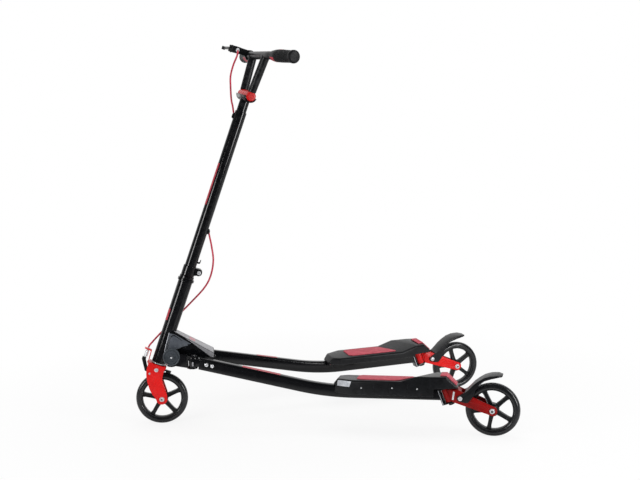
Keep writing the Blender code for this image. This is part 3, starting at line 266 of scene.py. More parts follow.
# Shared effects of the finishes.

def new_group(name, output, **inputs):
    """Node group with named values; gives it, its inputs and the socket of its one output."""
    tree = bpy.data.node_groups.new(name, "ShaderNodeTree")
    for label, value in inputs.items():
        tree.interface.new_socket(label, in_out="INPUT", socket_type="NodeSocketFloat").default_value = value
    tree.interface.new_socket(output, in_out="OUTPUT", socket_type="NodeSocketFloat")
    return tree, tree.nodes.new("NodeGroupInput").outputs, tree.nodes.new("NodeGroupOutput").inputs[0]


def make_mottle():
    """Slow, cloudy variation between Low and High."""
    tree, start, end = new_group("mottle", "Value", Scale=40, Low=0, High=1)
    tree.links.new(ramp(tree, noise(tree, start["Scale"], 5), 0.32, 0.68, start["Low"], start["High"]), end)
    return tree


def make_wear():
    """Mask of rubbed edges and small nicks."""
    tree, start, end = new_group("edge_wear", "Mask", Amount=0.5, Scale=120)
    edge = ramp(tree, add_node(tree, "NewGeometry", {}).outputs["Pointiness"], 0.52, 0.62)
    broken = ramp(tree, noise(tree, start["Scale"], 6), 0.45, 0.62)
    tree.links.new(product(tree, product(tree, edge, broken), start["Amount"]), end)
    return tree


def make_grain():
    """Fine height of a moulded or sprayed surface: soft orange peel with a sharper grain over it."""
    tree, start, end = new_group("grain", "Height", Peel=500, Grain=2500, Mix=0.5)
    soft, sharp = noise(tree, start["Peel"], 1), noise(tree, start["Grain"], 3)
    tree.links.new(between(tree, start["Mix"], soft, sharp), end)
    return tree


MOTTLE = make_mottle()
WEAR = make_wear()
GRAIN = make_grain()


def use_group(tree, group, **values):
    return add_node(tree, "Group", values, node_tree=group).outputs[0]


def coloured(name, deep, light, worn, rough, wear=0.4, metal=0.0, coat=0.0, cloud=25, peel=500, mix=0.5,
             height=0.00004, specular=0.5):
    """Finish with clouded colour, uneven gloss, fine relief and rubbed edges."""
    made = bpy.data.materials.new(name)
    made.use_nodes = True
    tree = made.node_tree
    shade = blend(tree, use_group(tree, MOTTLE, Scale=cloud), (*deep, 1), (*light, 1))
    relief = use_group(tree, GRAIN, Peel=peel, Mix=mix)
    bump = add_node(tree, "Bump", {"Strength": 0.6, "Distance": height, "Height": relief})
    feed(tree, tree.nodes["Principled BSDF"], {
        "Base Color": blend(tree, use_group(tree, WEAR, Amount=wear), shade, (*worn, 1)),
        "Roughness": use_group(tree, MOTTLE, Scale=cloud * 5, Low=rough[0], High=rough[1]),
        "Normal": bump.outputs["Normal"], "Metallic": metal, "Coat Weight": coat, "Coat Roughness": 0.08,
        "Specular IOR Level": specular})
    return made


FINISH = {
    "black_paint": coloured(
        "gloss_black_paint", (0.0020, 0.0021, 0.0028), (0.0042, 0.0045, 0.0054), (0.05, 0.05, 0.055),
        (0.10, 0.17), wear=0.2, mix=0.1, peel=220, height=0.000006, specular=0.36),
    "charcoal_paint": coloured(
        "charcoal_paint", (0.038, 0.046, 0.055), (0.058, 0.068, 0.080), (0.20, 0.21, 0.22), (0.30, 0.44),
        wear=0.35, metal=0.25, cloud=45, mix=0.6, height=0.00002),
    "red_paint": coloured(
        "bright_red_paint", (0.60, 0.0065, 0.0065), (0.72, 0.0095, 0.0085), (0.80, 0.14, 0.12),
        (0.22, 0.34), wear=0.25, coat=0.05, mix=0.15, height=0.00001, specular=0.20),
    "bright_steel": coloured(
        "bright_steel", (0.60, 0.61, 0.63), (0.76, 0.77, 0.79), (0.92, 0.92, 0.93), (0.20, 0.36), wear=0.6,
        metal=0.40, cloud=120, mix=0.7, height=0.00003),
    "pad_rubber": coloured(
        "red_pad_rubber", (0.44, 0.060, 0.085), (0.58, 0.090, 0.125), (0.66, 0.17, 0.19), (0.55, 0.75),
        wear=0.3, cloud=60, mix=0.8, height=0.00010),
    "cable_jacket": coloured(
        "crimson_cable_jacket", (0.42, 0.022, 0.050), (0.56, 0.034, 0.072), (0.62, 0.09, 0.12),
        (0.34, 0.48), wear=0.1, cloud=60, mix=0.3, height=0.00002),
    "grip_rubber": coloured(
        "black_grip_rubber", (0.0045, 0.0046, 0.0055), (0.0105, 0.0105, 0.012), (0.05, 0.05, 0.052),
        (0.36, 0.50), cloud=70, mix=0.8, height=0.00008, specular=0.22),
    "wheel_tyre": coloured(
        "black_urethane_tyre", (0.0042, 0.0045, 0.0055), (0.0090, 0.0095, 0.011), (0.05, 0.05, 0.05),
        (0.17, 0.29), wear=0.2, cloud=55, height=0.00002),
    "black_plastic": coloured(
        "black_moulded_plastic", (0.0035, 0.0038, 0.0046), (0.0075, 0.0080, 0.0095), (0.05, 0.052, 0.058),
        (0.27, 0.42), wear=0.35, cloud=50, mix=0.85, height=0.00005, specular=0.28),
}
# Darker copy of the bright red paint: painted shade for the left castor's fork, which stands in shadow.
SHADED_RED = coloured(
    "shaded_red_paint", (0.16, 0.0022, 0.0020), (0.26, 0.0036, 0.0033), (0.50, 0.06, 0.05), (0.26, 0.38),
    wear=0.25, mix=0.15, height=0.00001, specular=0.16)
# Darker copy of the bright red paint for the bar's crown: painted shade that holds back the light falling on
# it from above.
DIMMED_CROWN_RED = coloured(
    "dimmed_crown_red_paint", (0.42, 0.0045, 0.0045), (0.54, 0.0070, 0.0065), (0.70, 0.10, 0.09), (0.24, 0.36),
    wear=0.25, mix=0.15, height=0.00001, specular=0.28)
# Slate grey standing in for the studio mirrored in the gloss black sides of the wedge: painted reflection.
PAINTED_SLATE_REFLECTION = coloured(
    "painted_slate_reflection", (0.070, 0.080, 0.098), (0.105, 0.116, 0.136), (0.30, 0.31, 0.33), (0.26, 0.40),
    wear=0.3, metal=0.2, cloud=45, height=0.00002)
# Light grey standing in for the studio mirrored at a grazing angle on the wedge's gloss black, and for the
# glint on the arm pins: painted reflection and painted highlight.
PAINTED_GREY_REFLECTION = coloured(
    "painted_grey_reflection", (0.24, 0.24, 0.255), (0.36, 0.355, 0.375), (0.55, 0.55, 0.57), (0.32, 0.46),
    wear=0.3, metal=0.3, cloud=40, height=0.00002)
# Blackened steel for the yoke pins; the same dark in the bolt heads' sockets is painted shade.
DARK_STEEL_AND_SOCKET_SHADE = coloured(
    "blackened_steel_and_socket_shade", (0.05, 0.05, 0.055), (0.09, 0.09, 0.10), (0.45, 0.45, 0.46), (0.28, 0.45),
    wear=0.6, metal=1.0, cloud=140, mix=0.7, height=0.00003)
PRINT_RED = coloured(
    "red_print", (0.34, 0.010, 0.026), (0.46, 0.020, 0.045), (0.50, 0.10, 0.10), (0.30, 0.42), wear=0.2,
    mix=0.2, height=0.00001)
# Pink for the spot on the wedge's sloping top.
PINK_SPOT = coloured(
    "pink_spot", (0.50, 0.20, 0.24), (0.62, 0.30, 0.33), (0.70, 0.45, 0.45), (0.35, 0.50), wear=0.3,
    mix=0.2, height=0.00001)
# Pale satin steel for the deck badges and castor trims; on the bead along the wedge's front it is a painted
# highlight.
PALE_STEEL_AND_SHEEN = coloured(
    "satin_plate_steel_and_painted_sheen", (0.44, 0.46, 0.50), (0.60, 0.62, 0.66), (0.85, 0.85, 0.86), (0.30, 0.42), wear=0.5,
    metal=0.3, cloud=150, mix=0.6, height=0.00003)

# Modelling by hand.


def take(piece):
    """Makes one piece the active and only selected object."""
    if bpy.context.object and bpy.context.object.mode == "EDIT":
        bpy.ops.object.mode_set(mode="OBJECT")
    bpy.ops.object.select_all(action="DESELECT")
    piece.select_set(True)
    bpy.context.view_layer.objects.active = piece


def edit(piece):
    """Opens a piece in edit mode with all of it selected."""
    take(piece)
    bpy.ops.object.mode_set(mode="EDIT")
    bpy.ops.mesh.select_mode(type="VERT")
    bpy.ops.mesh.select_all(action="SELECT")


def leave():
    bpy.ops.object.mode_set(mode="OBJECT")


def pick(piece, test, kind="faces"):
    """Selects the faces or edges whose middle passes the test, in edit mode."""
    bpy.ops.mesh.select_mode(type="FACE" if kind == "faces" else "EDGE")
    bpy.ops.mesh.select_all(action="DESELECT")
    mesh = bmesh.from_edit_mesh(piece.data)
    if kind == "faces":
        for face in mesh.faces:
            face.select_set(test(face.calc_center_median(), face.normal))
    else:
        for edge in mesh.edges:
            edge.select_set(test((edge.verts[0].co + edge.verts[1].co) / 2, edge))
    bmesh.update_edit_mesh(piece.data)


def drawn(name, points, closed=True, fill=False):
    """Outline laid out point by point from a circle's ring."""
    bpy.ops.object.select_all(action="DESELECT")
    bpy.ops.mesh.primitive_circle_add(vertices=len(points), fill_type="NGON" if fill else "NOTHING")
    piece = bpy.context.object
    piece.name = name
    for vertex, point in zip(piece.data.vertices, points):
        vertex.co = point
    if not closed:
        edit(piece)
        pick(piece, lambda place, edge: {v.index for v in edge.verts} == {0, len(points) - 1}, "edges")
        bpy.ops.mesh.delete(type="EDGE")
        leave()
    return piece


def apply_modifier(piece, kind, **values):
    take(piece)
    step = piece.modifiers.new(kind.lower(), kind)
    for label, value in values.items():
        setattr(step, label, value)
    bpy.ops.object.modifier_apply(modifier=step.name)


def softened(piece, width, segments=2, angle=35):
    """Rounds the sharp edges a little."""
    apply_modifier(
        piece, "BEVEL", width=width, segments=segments, limit_method="ANGLE",
        angle_limit=math.radians(angle), use_clamp_overlap=False, miter_outer="MITER_ARC")
    return piece


def tidy(piece):
    edit(piece)
    bpy.ops.mesh.remove_doubles(threshold=1e-6)
    bpy.ops.mesh.normals_make_consistent(inside=False)
    leave()
    return piece


def turned(name, profile, steps=48, angle=360, start=0):
    """Piece spun from (radius, height) points; from axis to axis when both ends are 0, else a closed ring."""
    solid = profile[0][0] == 0
    c, s = math.cos(math.radians(start)), math.sin(math.radians(start))
    piece = drawn(name, [(r * c, r * s, h) for r, h in profile], closed=not solid)
    edit(piece)
    bpy.ops.mesh.spin(steps=steps, angle=math.radians(angle), center=(0, 0, 0), axis=(0, 0, -1))
    leave()
    if angle < 360:
        edit(piece)
        bpy.ops.mesh.select_all(action="DESELECT")
        bpy.ops.mesh.select_non_manifold()
        bpy.ops.mesh.fill_holes(sides=0)
        leave()
    return tidy(piece)


def plate(name, outline, low, high, *bevel):
    """Flat piece cut to an outline of (x, z) points and given its thickness along y."""
    piece = drawn(name, [(x, low, z) for x, z in outline], fill=True)
    edit(piece)
    bpy.ops.mesh.extrude_region_move(TRANSFORM_OT_translate={"value": (0, high - low, 0)})
    leave()
    tidy(piece)
    return softened(piece, *bevel) if bevel else piece


def lofted(name, loops, *bevel):
    """Skin over equal loops of points, from a grid rolled round them and closed at both ends."""
    around, along = len(loops[0]), len(loops)
    bpy.ops.object.select_all(action="DESELECT")
    bpy.ops.mesh.primitive_grid_add(x_subdivisions=around, y_subdivisions=along - 1)
    piece = bpy.context.object
    piece.name = name
    for row, loop in enumerate(loops):
        for column in range(around + 1):
            piece.data.vertices[row * (around + 1) + column].co = loop[column % around]
    edit(piece)
    bpy.ops.mesh.remove_doubles(threshold=1e-6)
    bpy.ops.mesh.select_all(action="DESELECT")
    bpy.ops.mesh.select_non_manifold()
    bpy.ops.mesh.fill_holes(sides=0)
    leave()
    tidy(piece)
    return softened(piece, *bevel) if bevel else piece


def smooth_line(route, count):
    """Evenly spaced points on a smooth curve through the route."""
    points = [Vector(p) for p in route]
    ghosts = [2 * points[0] - points[1]] + points + [2 * points[-1] - points[-2]]
    fine = []
    for a, b, c, d in zip(ghosts, ghosts[1:], ghosts[2:], ghosts[3:]):
        for k in range(24):
            t = k / 24
            fine.append(0.5 * (
                2 * b + (c - a) * t + (2 * a - 5 * b + 4 * c - d) * t * t
                + (3 * b - a - 3 * c + d) * t * t * t))
    fine.append(points[-1])
    lengths = [0.0]
    for p, q in zip(fine, fine[1:]):
        lengths.append(lengths[-1] + (q - p).length)
    even = []
    k = 0
    for i in range(count):
        goal = lengths[-1] * i / (count - 1)
        while k < len(fine) - 2 and lengths[k + 1] < goal:
            k += 1
        share = (goal - lengths[k]) / (lengths[k + 1] - lengths[k])
        even.append(fine[k].lerp(fine[k + 1], min(max(share, 0), 1)))
    return even


def arc(centre, radius, first, last, steps):
    angles = [math.radians(first + (last - first) * i / steps) for i in range(steps + 1)]
    return [(centre[0] + radius * math.cos(a), centre[1] + radius * math.sin(a)) for a in angles]


def rounded(wide, high, radius, steps=4):
    points = []
    for sx, sz, first in ((1, 1, 0), (-1, 1, 90), (-1, -1, 180), (1, -1, 270)):
        points += arc((sx * (wide / 2 - radius), sz * (high / 2 - radius)), radius, first, first + 90, steps)
    return points


def swept(name, path, section, up=(0, 0, 1)):
    """Section of (side, up) points carried along a path."""
    points = [Vector(p) for p in path]
    loops = []
    for i, point in enumerate(points):
        before, after = points[max(i - 1, 0)], points[min(i + 1, len(points) - 1)]
        along = (after - before).normalized()
        side = Vector(up).cross(along).normalized()
        high = along.cross(side)
        loops.append([point + side * a + high * b for a, b in section])
    return lofted(name, loops)


def band(name, stations, *bevel):
    """Strip across x through (x, half width, z) stations, each with its (x, z) thickness."""
    loops = [[(x, -half, z), (x, half, z), (x + dx, half, z + dz), (x + dx, -half, z + dz)]
             for x, half, z, dx, dz in stations]
    return lofted(name, loops, *bevel)


def both_ways(half):
    """Profile from its upper half and the same half turned over."""
    return [(r, -z) for r, z in reversed(half) if z > 0] + half


def ring(radius, count):
    return [(radius * math.cos(2 * math.pi * i / count), radius * math.sin(2 * math.pi * i / count))
            for i in range(count)]


def merged(node, *bevel):
    """Finer copy of a CAD piece: its triangles joined into flat faces, its edges rounded."""
    piece = new_object(node + "_fine", NODES[node].data.copy())
    edit(piece)
    bpy.ops.mesh.remove_doubles(threshold=1e-5)
    bpy.ops.mesh.dissolve_limited(angle_limit=math.radians(0.6))
    leave()
    return softened(piece, *bevel)


def placed(piece, matrix):
    """Moves the mesh itself, so the object stays at the origin."""
    piece.data.transform(matrix)
    if matrix.determinant() < 0:
        edit(piece)
        bpy.ops.mesh.flip_normals()
        leave()
    piece.data.update()
    return piece


def joined(name, *pieces):
    take(pieces[0])
    for other in pieces[1:]:
        other.select_set(True)
    bpy.ops.object.join()
    piece = bpy.context.object
    piece.name = name
    return piece


def copied(piece, name, matrix=Matrix.Identity(4)):
    return placed(new_object(name, piece.data.copy()), matrix)


def done(piece, body, slot, *nodes, finish=None, name=None, smooth=32):
    """Gives a piece its finish and ties it to its body."""
    if name:
        piece.name = name
    piece.data.name = piece.name
    piece.data.materials.clear()
    piece.data.materials.append(finish or FINISH[slot])
    if piece.type == "MESH":
        take(piece)
        bpy.ops.object.shade_smooth_by_angle(angle=math.radians(smooth))
    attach(piece, body)
    if nodes:
        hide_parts(*nodes)


def both_sides(piece, stem, body, slot, *nodes, **more):
    """The right piece as drawn and its mirror image on the left."""
    twin = copied(piece, stem + "_left", MIRROR)
    done(twin, body + "_left", slot, *[n + "_left" for n in nodes], **more)
    done(piece, body + "_right", slot, *[n + "_right" for n in nodes], name=stem + "_right", **more)


def y_axis(piece, centre=(0, 0)):
    """Lays a piece turned about z along y, at (x, z)."""
    return placed(piece, shift(centre[0], 0, centre[1]) @ outward(1))


# Bolts.

def dome_bolt(name, radius, height, socket=0.42, depth=0.62):
    """Domed head with a round socket, standing on z = 0."""
    floor = 1 - depth
    profile = [(0, floor), (socket, floor), (socket, 0.94), (socket + 0.12, 1), (0.80, 0.84), (0.95, 0.50),
               (1, 0.18), (1, 0), (0, 0)]
    return turned(name, [(radius * r, height * z) for r, z in profile], 32)


def plain_bolt(name, radius, height):
    """Domed head with a shallow dimple."""
    return dome_bolt(name, radius, height, 0.30, 0.25)


def cap_bolt(name, radius, height):
    """Washer and a round head with a six-sided socket, standing on z = 0."""
    washer = [(0, 0.30), (0.94, 0.30), (1, 0.20), (1, 0), (0, 0)]
    head = [(0, 0.45), (0.40, 0.45), (0.44, 1), (0.72, 1), (0.80, 0.80), (0.80, 0.30), (0, 0.30)]
    pieces = [turned(name, [(radius * r, height * z) for r, z in half], 36) for half in (washer, head)]
    return joined(name, *pieces)


def sockets(name, radius, height, reach, place, body):
    """Dark six-sided plugs in both heads of a bolt along y: painted shade in the bolt sockets."""
    low, high, wide = height * 0.3, height * 0.62, radius * 0.40
    plugs = []
    for side in (-1, 1):
        plug = turned("plug", [(0, high), (wide, high), (wide, low), (0, low)], 6)
        plugs.append(placed(plug, shift(0, side * reach, 0) @ outward(side)))
    done(placed(joined(name, *plugs), place), body, "bright_steel", finish=DARK_STEEL_AND_SOCKET_SHADE, smooth=20)


def across_bolt(name, kind, radius, height, reach, shank):
    """Bolt along y with a head on both ends."""
    heads = [placed(kind("head", radius, height), shift(0, side * reach, 0) @ outward(side))
             for side in (-1, 1)]
    rod = turned("rod", [(0, -reach), (shank, -reach), (shank, reach), (0, reach)], 24)
    return joined(name, *heads, y_axis(rod))


# Yoke and head.

def make_yoke():
    done(merged("yoke", 0.0011, 3), "yoke", "black_paint", "yoke")
    for name, side in SIDES.items():
        disc = turned("yoke_disc_" + name, [
            (0, 0.0400), (0.0232, 0.0400), (0.0237, 0.0405), (0.0237, 0.0496), (0.0233, 0.0504),
            (0.0226, 0.0508), (0.0200, 0.0508), (0.0194, 0.0504), (0.0190, 0.0494), (0.0116, 0.0494),
            (0.0112, 0.0502), (0.0106, 0.0507), (0, 0.0507)], 72)
        done(placed(disc, HUB @ outward(side)), "yoke", "charcoal_paint")
    axle = across_bolt("hub_axle_fine", cap_bolt, 0.0092, 0.0050, 0.0508, 0.0058)
    done(placed(axle, HUB), "yoke", "bright_steel", "hub_axle", finish=FINISH["charcoal_paint"])
    for name, side in SIDES.items():
        spot = turned("hub_spot_" + name, [
            (0, 0.0562), (0.0020, 0.0561), (0.0026, 0.0557), (0.0026, 0.0545), (0, 0.0545)], 24)
        done(placed(spot, HUB @ outward(side)), "yoke", "bright_steel")
        pin = turned("pin", [
            (0, 0.1634), (0.0058, 0.1634), (0.0068, 0.1640), (0.0068, 0.1648), (0.0040, 0.1648),
            (0.0040, 0.2022), (0.0068, 0.2022), (0.0068, 0.2030), (0.0058, 0.2036), (0, 0.2036)], 32)
        done(placed(pin, BASE @ shift(PIN[0], side * PIN[1], 0)), "yoke", "bright_steel", "pin_" + name,
             finish=DARK_STEEL_AND_SOCKET_SHADE, name="pin_%s_fine" % name)


# The wedge runs from its front edge down to its end and widens on the way.
WEDGE_FRONT, WEDGE_LONG, WEDGE_TOP, WEDGE_DROP = 0.0300, 0.1180, 0.2701, 0.0676
WEDGE_HALF, WEDGE_FLARE = 0.0190, 0.127


def wedge_point(share, lift=0.0):
    return WEDGE_FRONT + WEDGE_LONG * share, WEDGE_TOP + lift - WEDGE_DROP * share


def reflection_half(x):
    """Half width of a painted reflection on the wedge, inside its edges."""
    return WEDGE_HALF + (x - WEDGE_FRONT) * WEDGE_FLARE - 0.0017


def make_wedge_reflections():
    """Painted reflections in grey on the wedge's gloss black: one on its sloping top and one on each side,
    with a bead along its front that is a painted highlight.
    """
    slope = [wedge_point(share) for share in (0.09, 0.30, 0.55, 0.80, 0.985)]
    top = band("wedge_top_reflection", [(x, reflection_half(x), z, 0.0003, 0.0006) for x, z in slope])
    done(placed(top, BASE), "head", "charcoal_paint", finish=PAINTED_GREY_REFLECTION)
    half = reflection_half(WEDGE_FRONT + WEDGE_LONG)
    back = band("wedge_rear_reflection", [(0.1478, half, z, 0.0007, 0) for z in (0.1905, 0.1960, 0.2012)])
    done(placed(back, BASE), "head", "charcoal_paint", finish=PAINTED_GREY_REFLECTION)
    span = [wedge_point(share, 0.0007) for share in (0.44, 0.57)]
    mark = band("wedge_mark", [(x, 0.0150, z, 0.0002, 0.0003) for x, z in span])
    done(placed(mark, BASE), "head", "charcoal_paint", finish=PINK_SPOT)
    web = [(0.0262, 0.2605), (0.0420, 0.2560), (0.0640, 0.2425), (0.0860, 0.2290), (0.0720, 0.2262),
           (0.0520, 0.2230), (0.0380, 0.2190), (0.0250, 0.2080), (0.0150, 0.2050), (0.0090, 0.2080)]
    boss = [(0.0205, 0.2060), (0.0208, 0.2146), (0.0302, 0.2466), (0.0387, 0.2538), (0.0755, 0.2280),
            (0.0778, 0.2236), (0.0655, 0.2219), (0.0495, 0.2160), (0.0350, 0.2145), (0.0290, 0.2060)]
    end = [(0.0700, 0.2460), (0.0872, 0.2335), (0.1146, 0.2120), (0.1394, 0.1925), (0.1405, 0.1912),
           (0.1478, 0.1912), (0.1478, 0.2020), (0.1394, 0.2068), (0.1146, 0.2210), (0.0872, 0.2367)]
    for name, side in SIDES.items():
        # Slate on each side and on the boss, and grey on the lip at the end: painted reflections.
        panel = plate("wedge_side_reflection_" + name, web, 0, 0.0012, 0.0004)
        raised = plate("boss_reflection_" + name, boss, side * 0.0248 - 0.0004, side * 0.0248 + 0.0004, 0.0003)
        done(placed(raised, BASE), "head", "charcoal_paint", finish=PAINTED_SLATE_REFLECTION)
        lean = Matrix.Identity(4)
        lean[1][0] = WEDGE_FLARE
        flip = Matrix.Identity(4) if side > 0 else Matrix.Scale(-1, 4, (0, 1, 0))
        place = BASE @ flip @ shift(0, WEDGE_HALF - WEDGE_FRONT * WEDGE_FLARE + 0.0001, 0) @ lean
        done(placed(panel, place), "head", "charcoal_paint", finish=PAINTED_SLATE_REFLECTION)
        lip = plate("wedge_lip_reflection_" + name, end, 0, 0.0011, 0.0003)
        done(placed(lip, place), "head", "charcoal_paint", finish=PAINTED_GREY_REFLECTION)
        # The pale bead along the wedge's front edge is a painted highlight.
        seam = [(x, side * 0.0203, z) for x, z in ((0.0118, 0.2080), (0.0192, 0.2340), (0.0272, 0.2610))]
        bead = swept("wedge_edge_highlight_" + name, seam, ring(0.0011, 12), (0, 1, 0))
        done(placed(bead, BASE), "head", "charcoal_paint", finish=PALE_STEEL_AND_SHEEN)
        dot = dome_bolt("wedge_screw_" + name, 0.0036, 0.0016)
        place = BASE @ shift(0.0385, side * 0.0100, 0.2700) @ turn(side * math.radians(-60), "X")
        done(placed(dot, place), "head", "bright_steel")


def make_head():
    tube = turned("head_tube_fine", [
        (0.0158, 0.1010), (0.0193, 0.1010), (0.0198, 0.1016), (0.0198, 0.3354), (0.0193, 0.3360),
        (0.0158, 0.3360)], 64)
    done(placed(tube, STEER), "head", "black_paint", "head_tube")
    done(merged("gusset", 0.0016, 3), "head", "charcoal_paint", "gusset", finish=FINISH["black_paint"])
    make_wedge_reflections()
    low = turned("cup_lower_fine", [
        (0.0140, 0.0903), (0.0196, 0.0903), (0.0200, 0.0908), (0.0200, 0.1002), (0.0196, 0.1007),
        (0.0155, 0.1007), (0.0155, 0.1090), (0.0140, 0.1090)], 64)
    done(placed(low, STEER), "head", "black_paint", "cup_lower")
    race = turned("lower_race", [(0.0197, 0.0925), (0.0203, 0.0927), (0.0203, 0.0941), (0.0197, 0.0943)], 64)
    done(placed(race, STEER), "head", "bright_steel")
    high = turned("cup_upper_fine", [
        (0.0140, 0.3280), (0.0155, 0.3280), (0.0155, 0.3363), (0.0224, 0.3363), (0.0230, 0.3369),
        (0.0230, 0.3390), (0.0222, 0.3396), (0.0222, 0.3404), (0.0230, 0.3410), (0.0230, 0.3427),
        (0.0224, 0.3433), (0.0140, 0.3433)], 64)
    done(placed(high, STEER), "head", "black_paint", "cup_upper")


# Fork, column and front brake.

def make_fork():
    front = smooth_line([
        (-0.0263, 0, 0.0900), (-0.0265, 0, 0.0780), (-0.0262, 0, 0.0690), (-0.0230, 0, 0.0545),
        (-0.0167, 0, 0.0410), (-0.0088, 0, 0.0275), (0.0005, 0, 0.0150), (0.0115, 0, 0.0043),
        (0.0230, 0, -0.0040), (0.0290, 0, -0.0110)], 22)
    rear = smooth_line([
        (0.0536, 0, 0.0066), (0.0494, 0, 0.0165), (0.0446, 0, 0.0236), (0.0369, 0, 0.0340),
        (0.0289, 0, 0.0450), (0.0241, 0, 0.0536), (0.0222, 0, 0.0640), (0.0212, 0, 0.0757),
        (0.0224, 0, 0.0840), (0.0244, 0, 0.0900)], 20)
    foot = arc((AXLE_OFFSET, 0), 0.0155, 228, 380, 16)
    outline = [(p.x, p.z) for p in front] + foot + [(p.x, p.z) for p in rear]
    blades = [plate("blade", outline, low, high, 0.0015, 3, 50)
              for low, high in ((-0.0210, -0.0160), (0.0160, 0.0210))]
    bridge = [(-0.0258, 0.0822), (0.0236, 0.0822), (0.0243, 0.0898), (-0.0262, 0.0898)]
    crown = plate("crown", bridge, -0.0205, 0.0205, 0.0010)
    shaft = [(0, 0.0880), (0.0137, 0.0880), (0.0137, 0.3944), (0.0131, 0.3950), (0, 0.3950)]
    steerer = turned("steerer", shaft, 48)
    fork = joined("fork_fine", *blades, crown, steerer)
    done(placed(fork, STEER), "steering", "red_paint", "fork", smooth=40)
    axle = across_bolt("front_axle_fine", cap_bolt, 0.0070, 0.0050, 0.0212, 0.0040)
    done(placed(axle, FRONT_AXLE), "steering", "bright_steel", "front_axle")
    sockets("front_axle_sockets", 0.0070, 0.0050, 0.0212, FRONT_AXLE, "steering")
    pivot = across_bolt("rocker_bolt_fine", dome_bolt, 0.0058, 0.0034, 0.0212, 0.0030)
    done(placed(pivot, STEER @ shift(0, 0, ROCKER_HIGH)), "steering", "bright_steel", "rocker_bolt")
    stud = dome_bolt("fork_stud", 0.0030, 0.0016)
    done(placed(stud, STEER @ shift(-0.0150, -0.0209, 0.0600) @ outward(-1)), "steering", "bright_steel")


def strip_on(name, radius, low, high, middle, half, thick=0.00025):
    """Thin strip wrapped on a tube, between two heights, centred at an angle."""
    inner, outer = radius - 0.0001, radius + thick
    section = [(inner, low), (outer, low), (outer, high), (inner, high)]
    return turned(name, section, 14, 2 * half, middle - half)


def make_column():
    tube = turned("column_tube", [
        (0.0140, 0.3520), (0.0154, 0.3520), (0.0160, 0.3526), (0.0160, 0.8284), (0.0156, 0.8290),
        (0.0140, 0.8290)], 64)
    hook = plate("hook", [
        (0.0150, 0.3920), (0.0215, 0.3930), (0.0235, 0.3960), (0.0235, 0.4050), (0.0212, 0.4050),
        (0.0205, 0.3975), (0.0150, 0.3975)], -0.0030, 0.0030, 0.0006)
    done(placed(joined("column_fine", tube, hook), STEER), "steering", "black_paint", "column")
    nut = turned("headset_nut_fine", [
        (0.0140, 0.3436), (0.0194, 0.3436), (0.0200, 0.3442), (0.0200, 0.3510), (0.0194, 0.3517),
        (0.0140, 0.3517)], 64)
    done(placed(nut, STEER), "steering", "black_paint", "headset_nut")
    ring_piece = turned("ring", [
        (0.0163, 0.3530), (0.0180, 0.3530), (0.0185, 0.3535), (0.0185, 0.3795), (0.0180, 0.3800),
        (0.0163, 0.3800)], 64)
    tip = arc((0.0270, 0.3700), 0.0100, -80, 90, 10)
    ear = [(0.0160, 0.3572), (0.0250, 0.3603), *tip, (0.0160, 0.3795)]
    ears = [plate("ear", ear, low, high, 0.0007) for low, high in ((-0.0100, -0.0012), (0.0012, 0.0100))]
    collar = joined("collar_lower_fine", ring_piece, *ears)
    done(placed(collar, STEER), "steering", "charcoal_paint", "collar_lower", finish=FINISH["black_paint"])
    bolt = across_bolt("collar_bolt_fine", cap_bolt, 0.0055, 0.0035, 0.0102, 0.0027)
    done(placed(bolt, STEER @ shift(0.0285, 0, 0.3700)), "steering", "bright_steel", "collar_bolt")
    for node, middle in (("port_upper", 0.8185), ("port_lower", 0.4800)):
        slim = (STEER @ shift(0, 0, middle) @ Matrix.Diagonal((0.9, 0.9, 0.62, 1)) @ shift(0, 0, -middle)
                @ STEER.inverted())
        done(placed(merged(node, 0.0016, 3), slim), "steering", "black_plastic", node)
    for name, body, radius, low, high in (("column_stripe", "steering", 0.0160, 0.5570, 0.6770),
                                          ("head_stripe", "head", 0.0198, 0.2170, 0.2500)):
        stripe = strip_on(name, radius, low, high, 180, 42)
        done(placed(stripe, STEER), body, "red_paint", finish=PRINT_RED)


def make_front_brake():
    done(merged("cable_stop", 0.0004), "steering", "red_paint", "cable_stop")
    barrel = turned("adjuster_fine", [
        (0, 0.0996), (0.0038, 0.0996), (0.0048, 0.1006), (0.0048, 0.1030), (0.0041, 0.1036),
        (0.0041, 0.1044), (0.0048, 0.1050), (0.0048, 0.1156), (0.0044, 0.1164), (0.0040, 0.1170),
        (0.0040, 0.1193), (0.0027, 0.1193), (0.0027, 0.1238), (0, 0.1238)], 28)
    done(placed(barrel, STEER @ shift(-0.0400, 0, 0)), "steering", "bright_steel", "adjuster")
    done(merged("brake_rocker", 0.0006), "rocker", "black_plastic", "brake_rocker")
    done(merged("brake_shoe", 0.0006), "rocker", "grip_rubber", "brake_shoe")


# Handlebar.

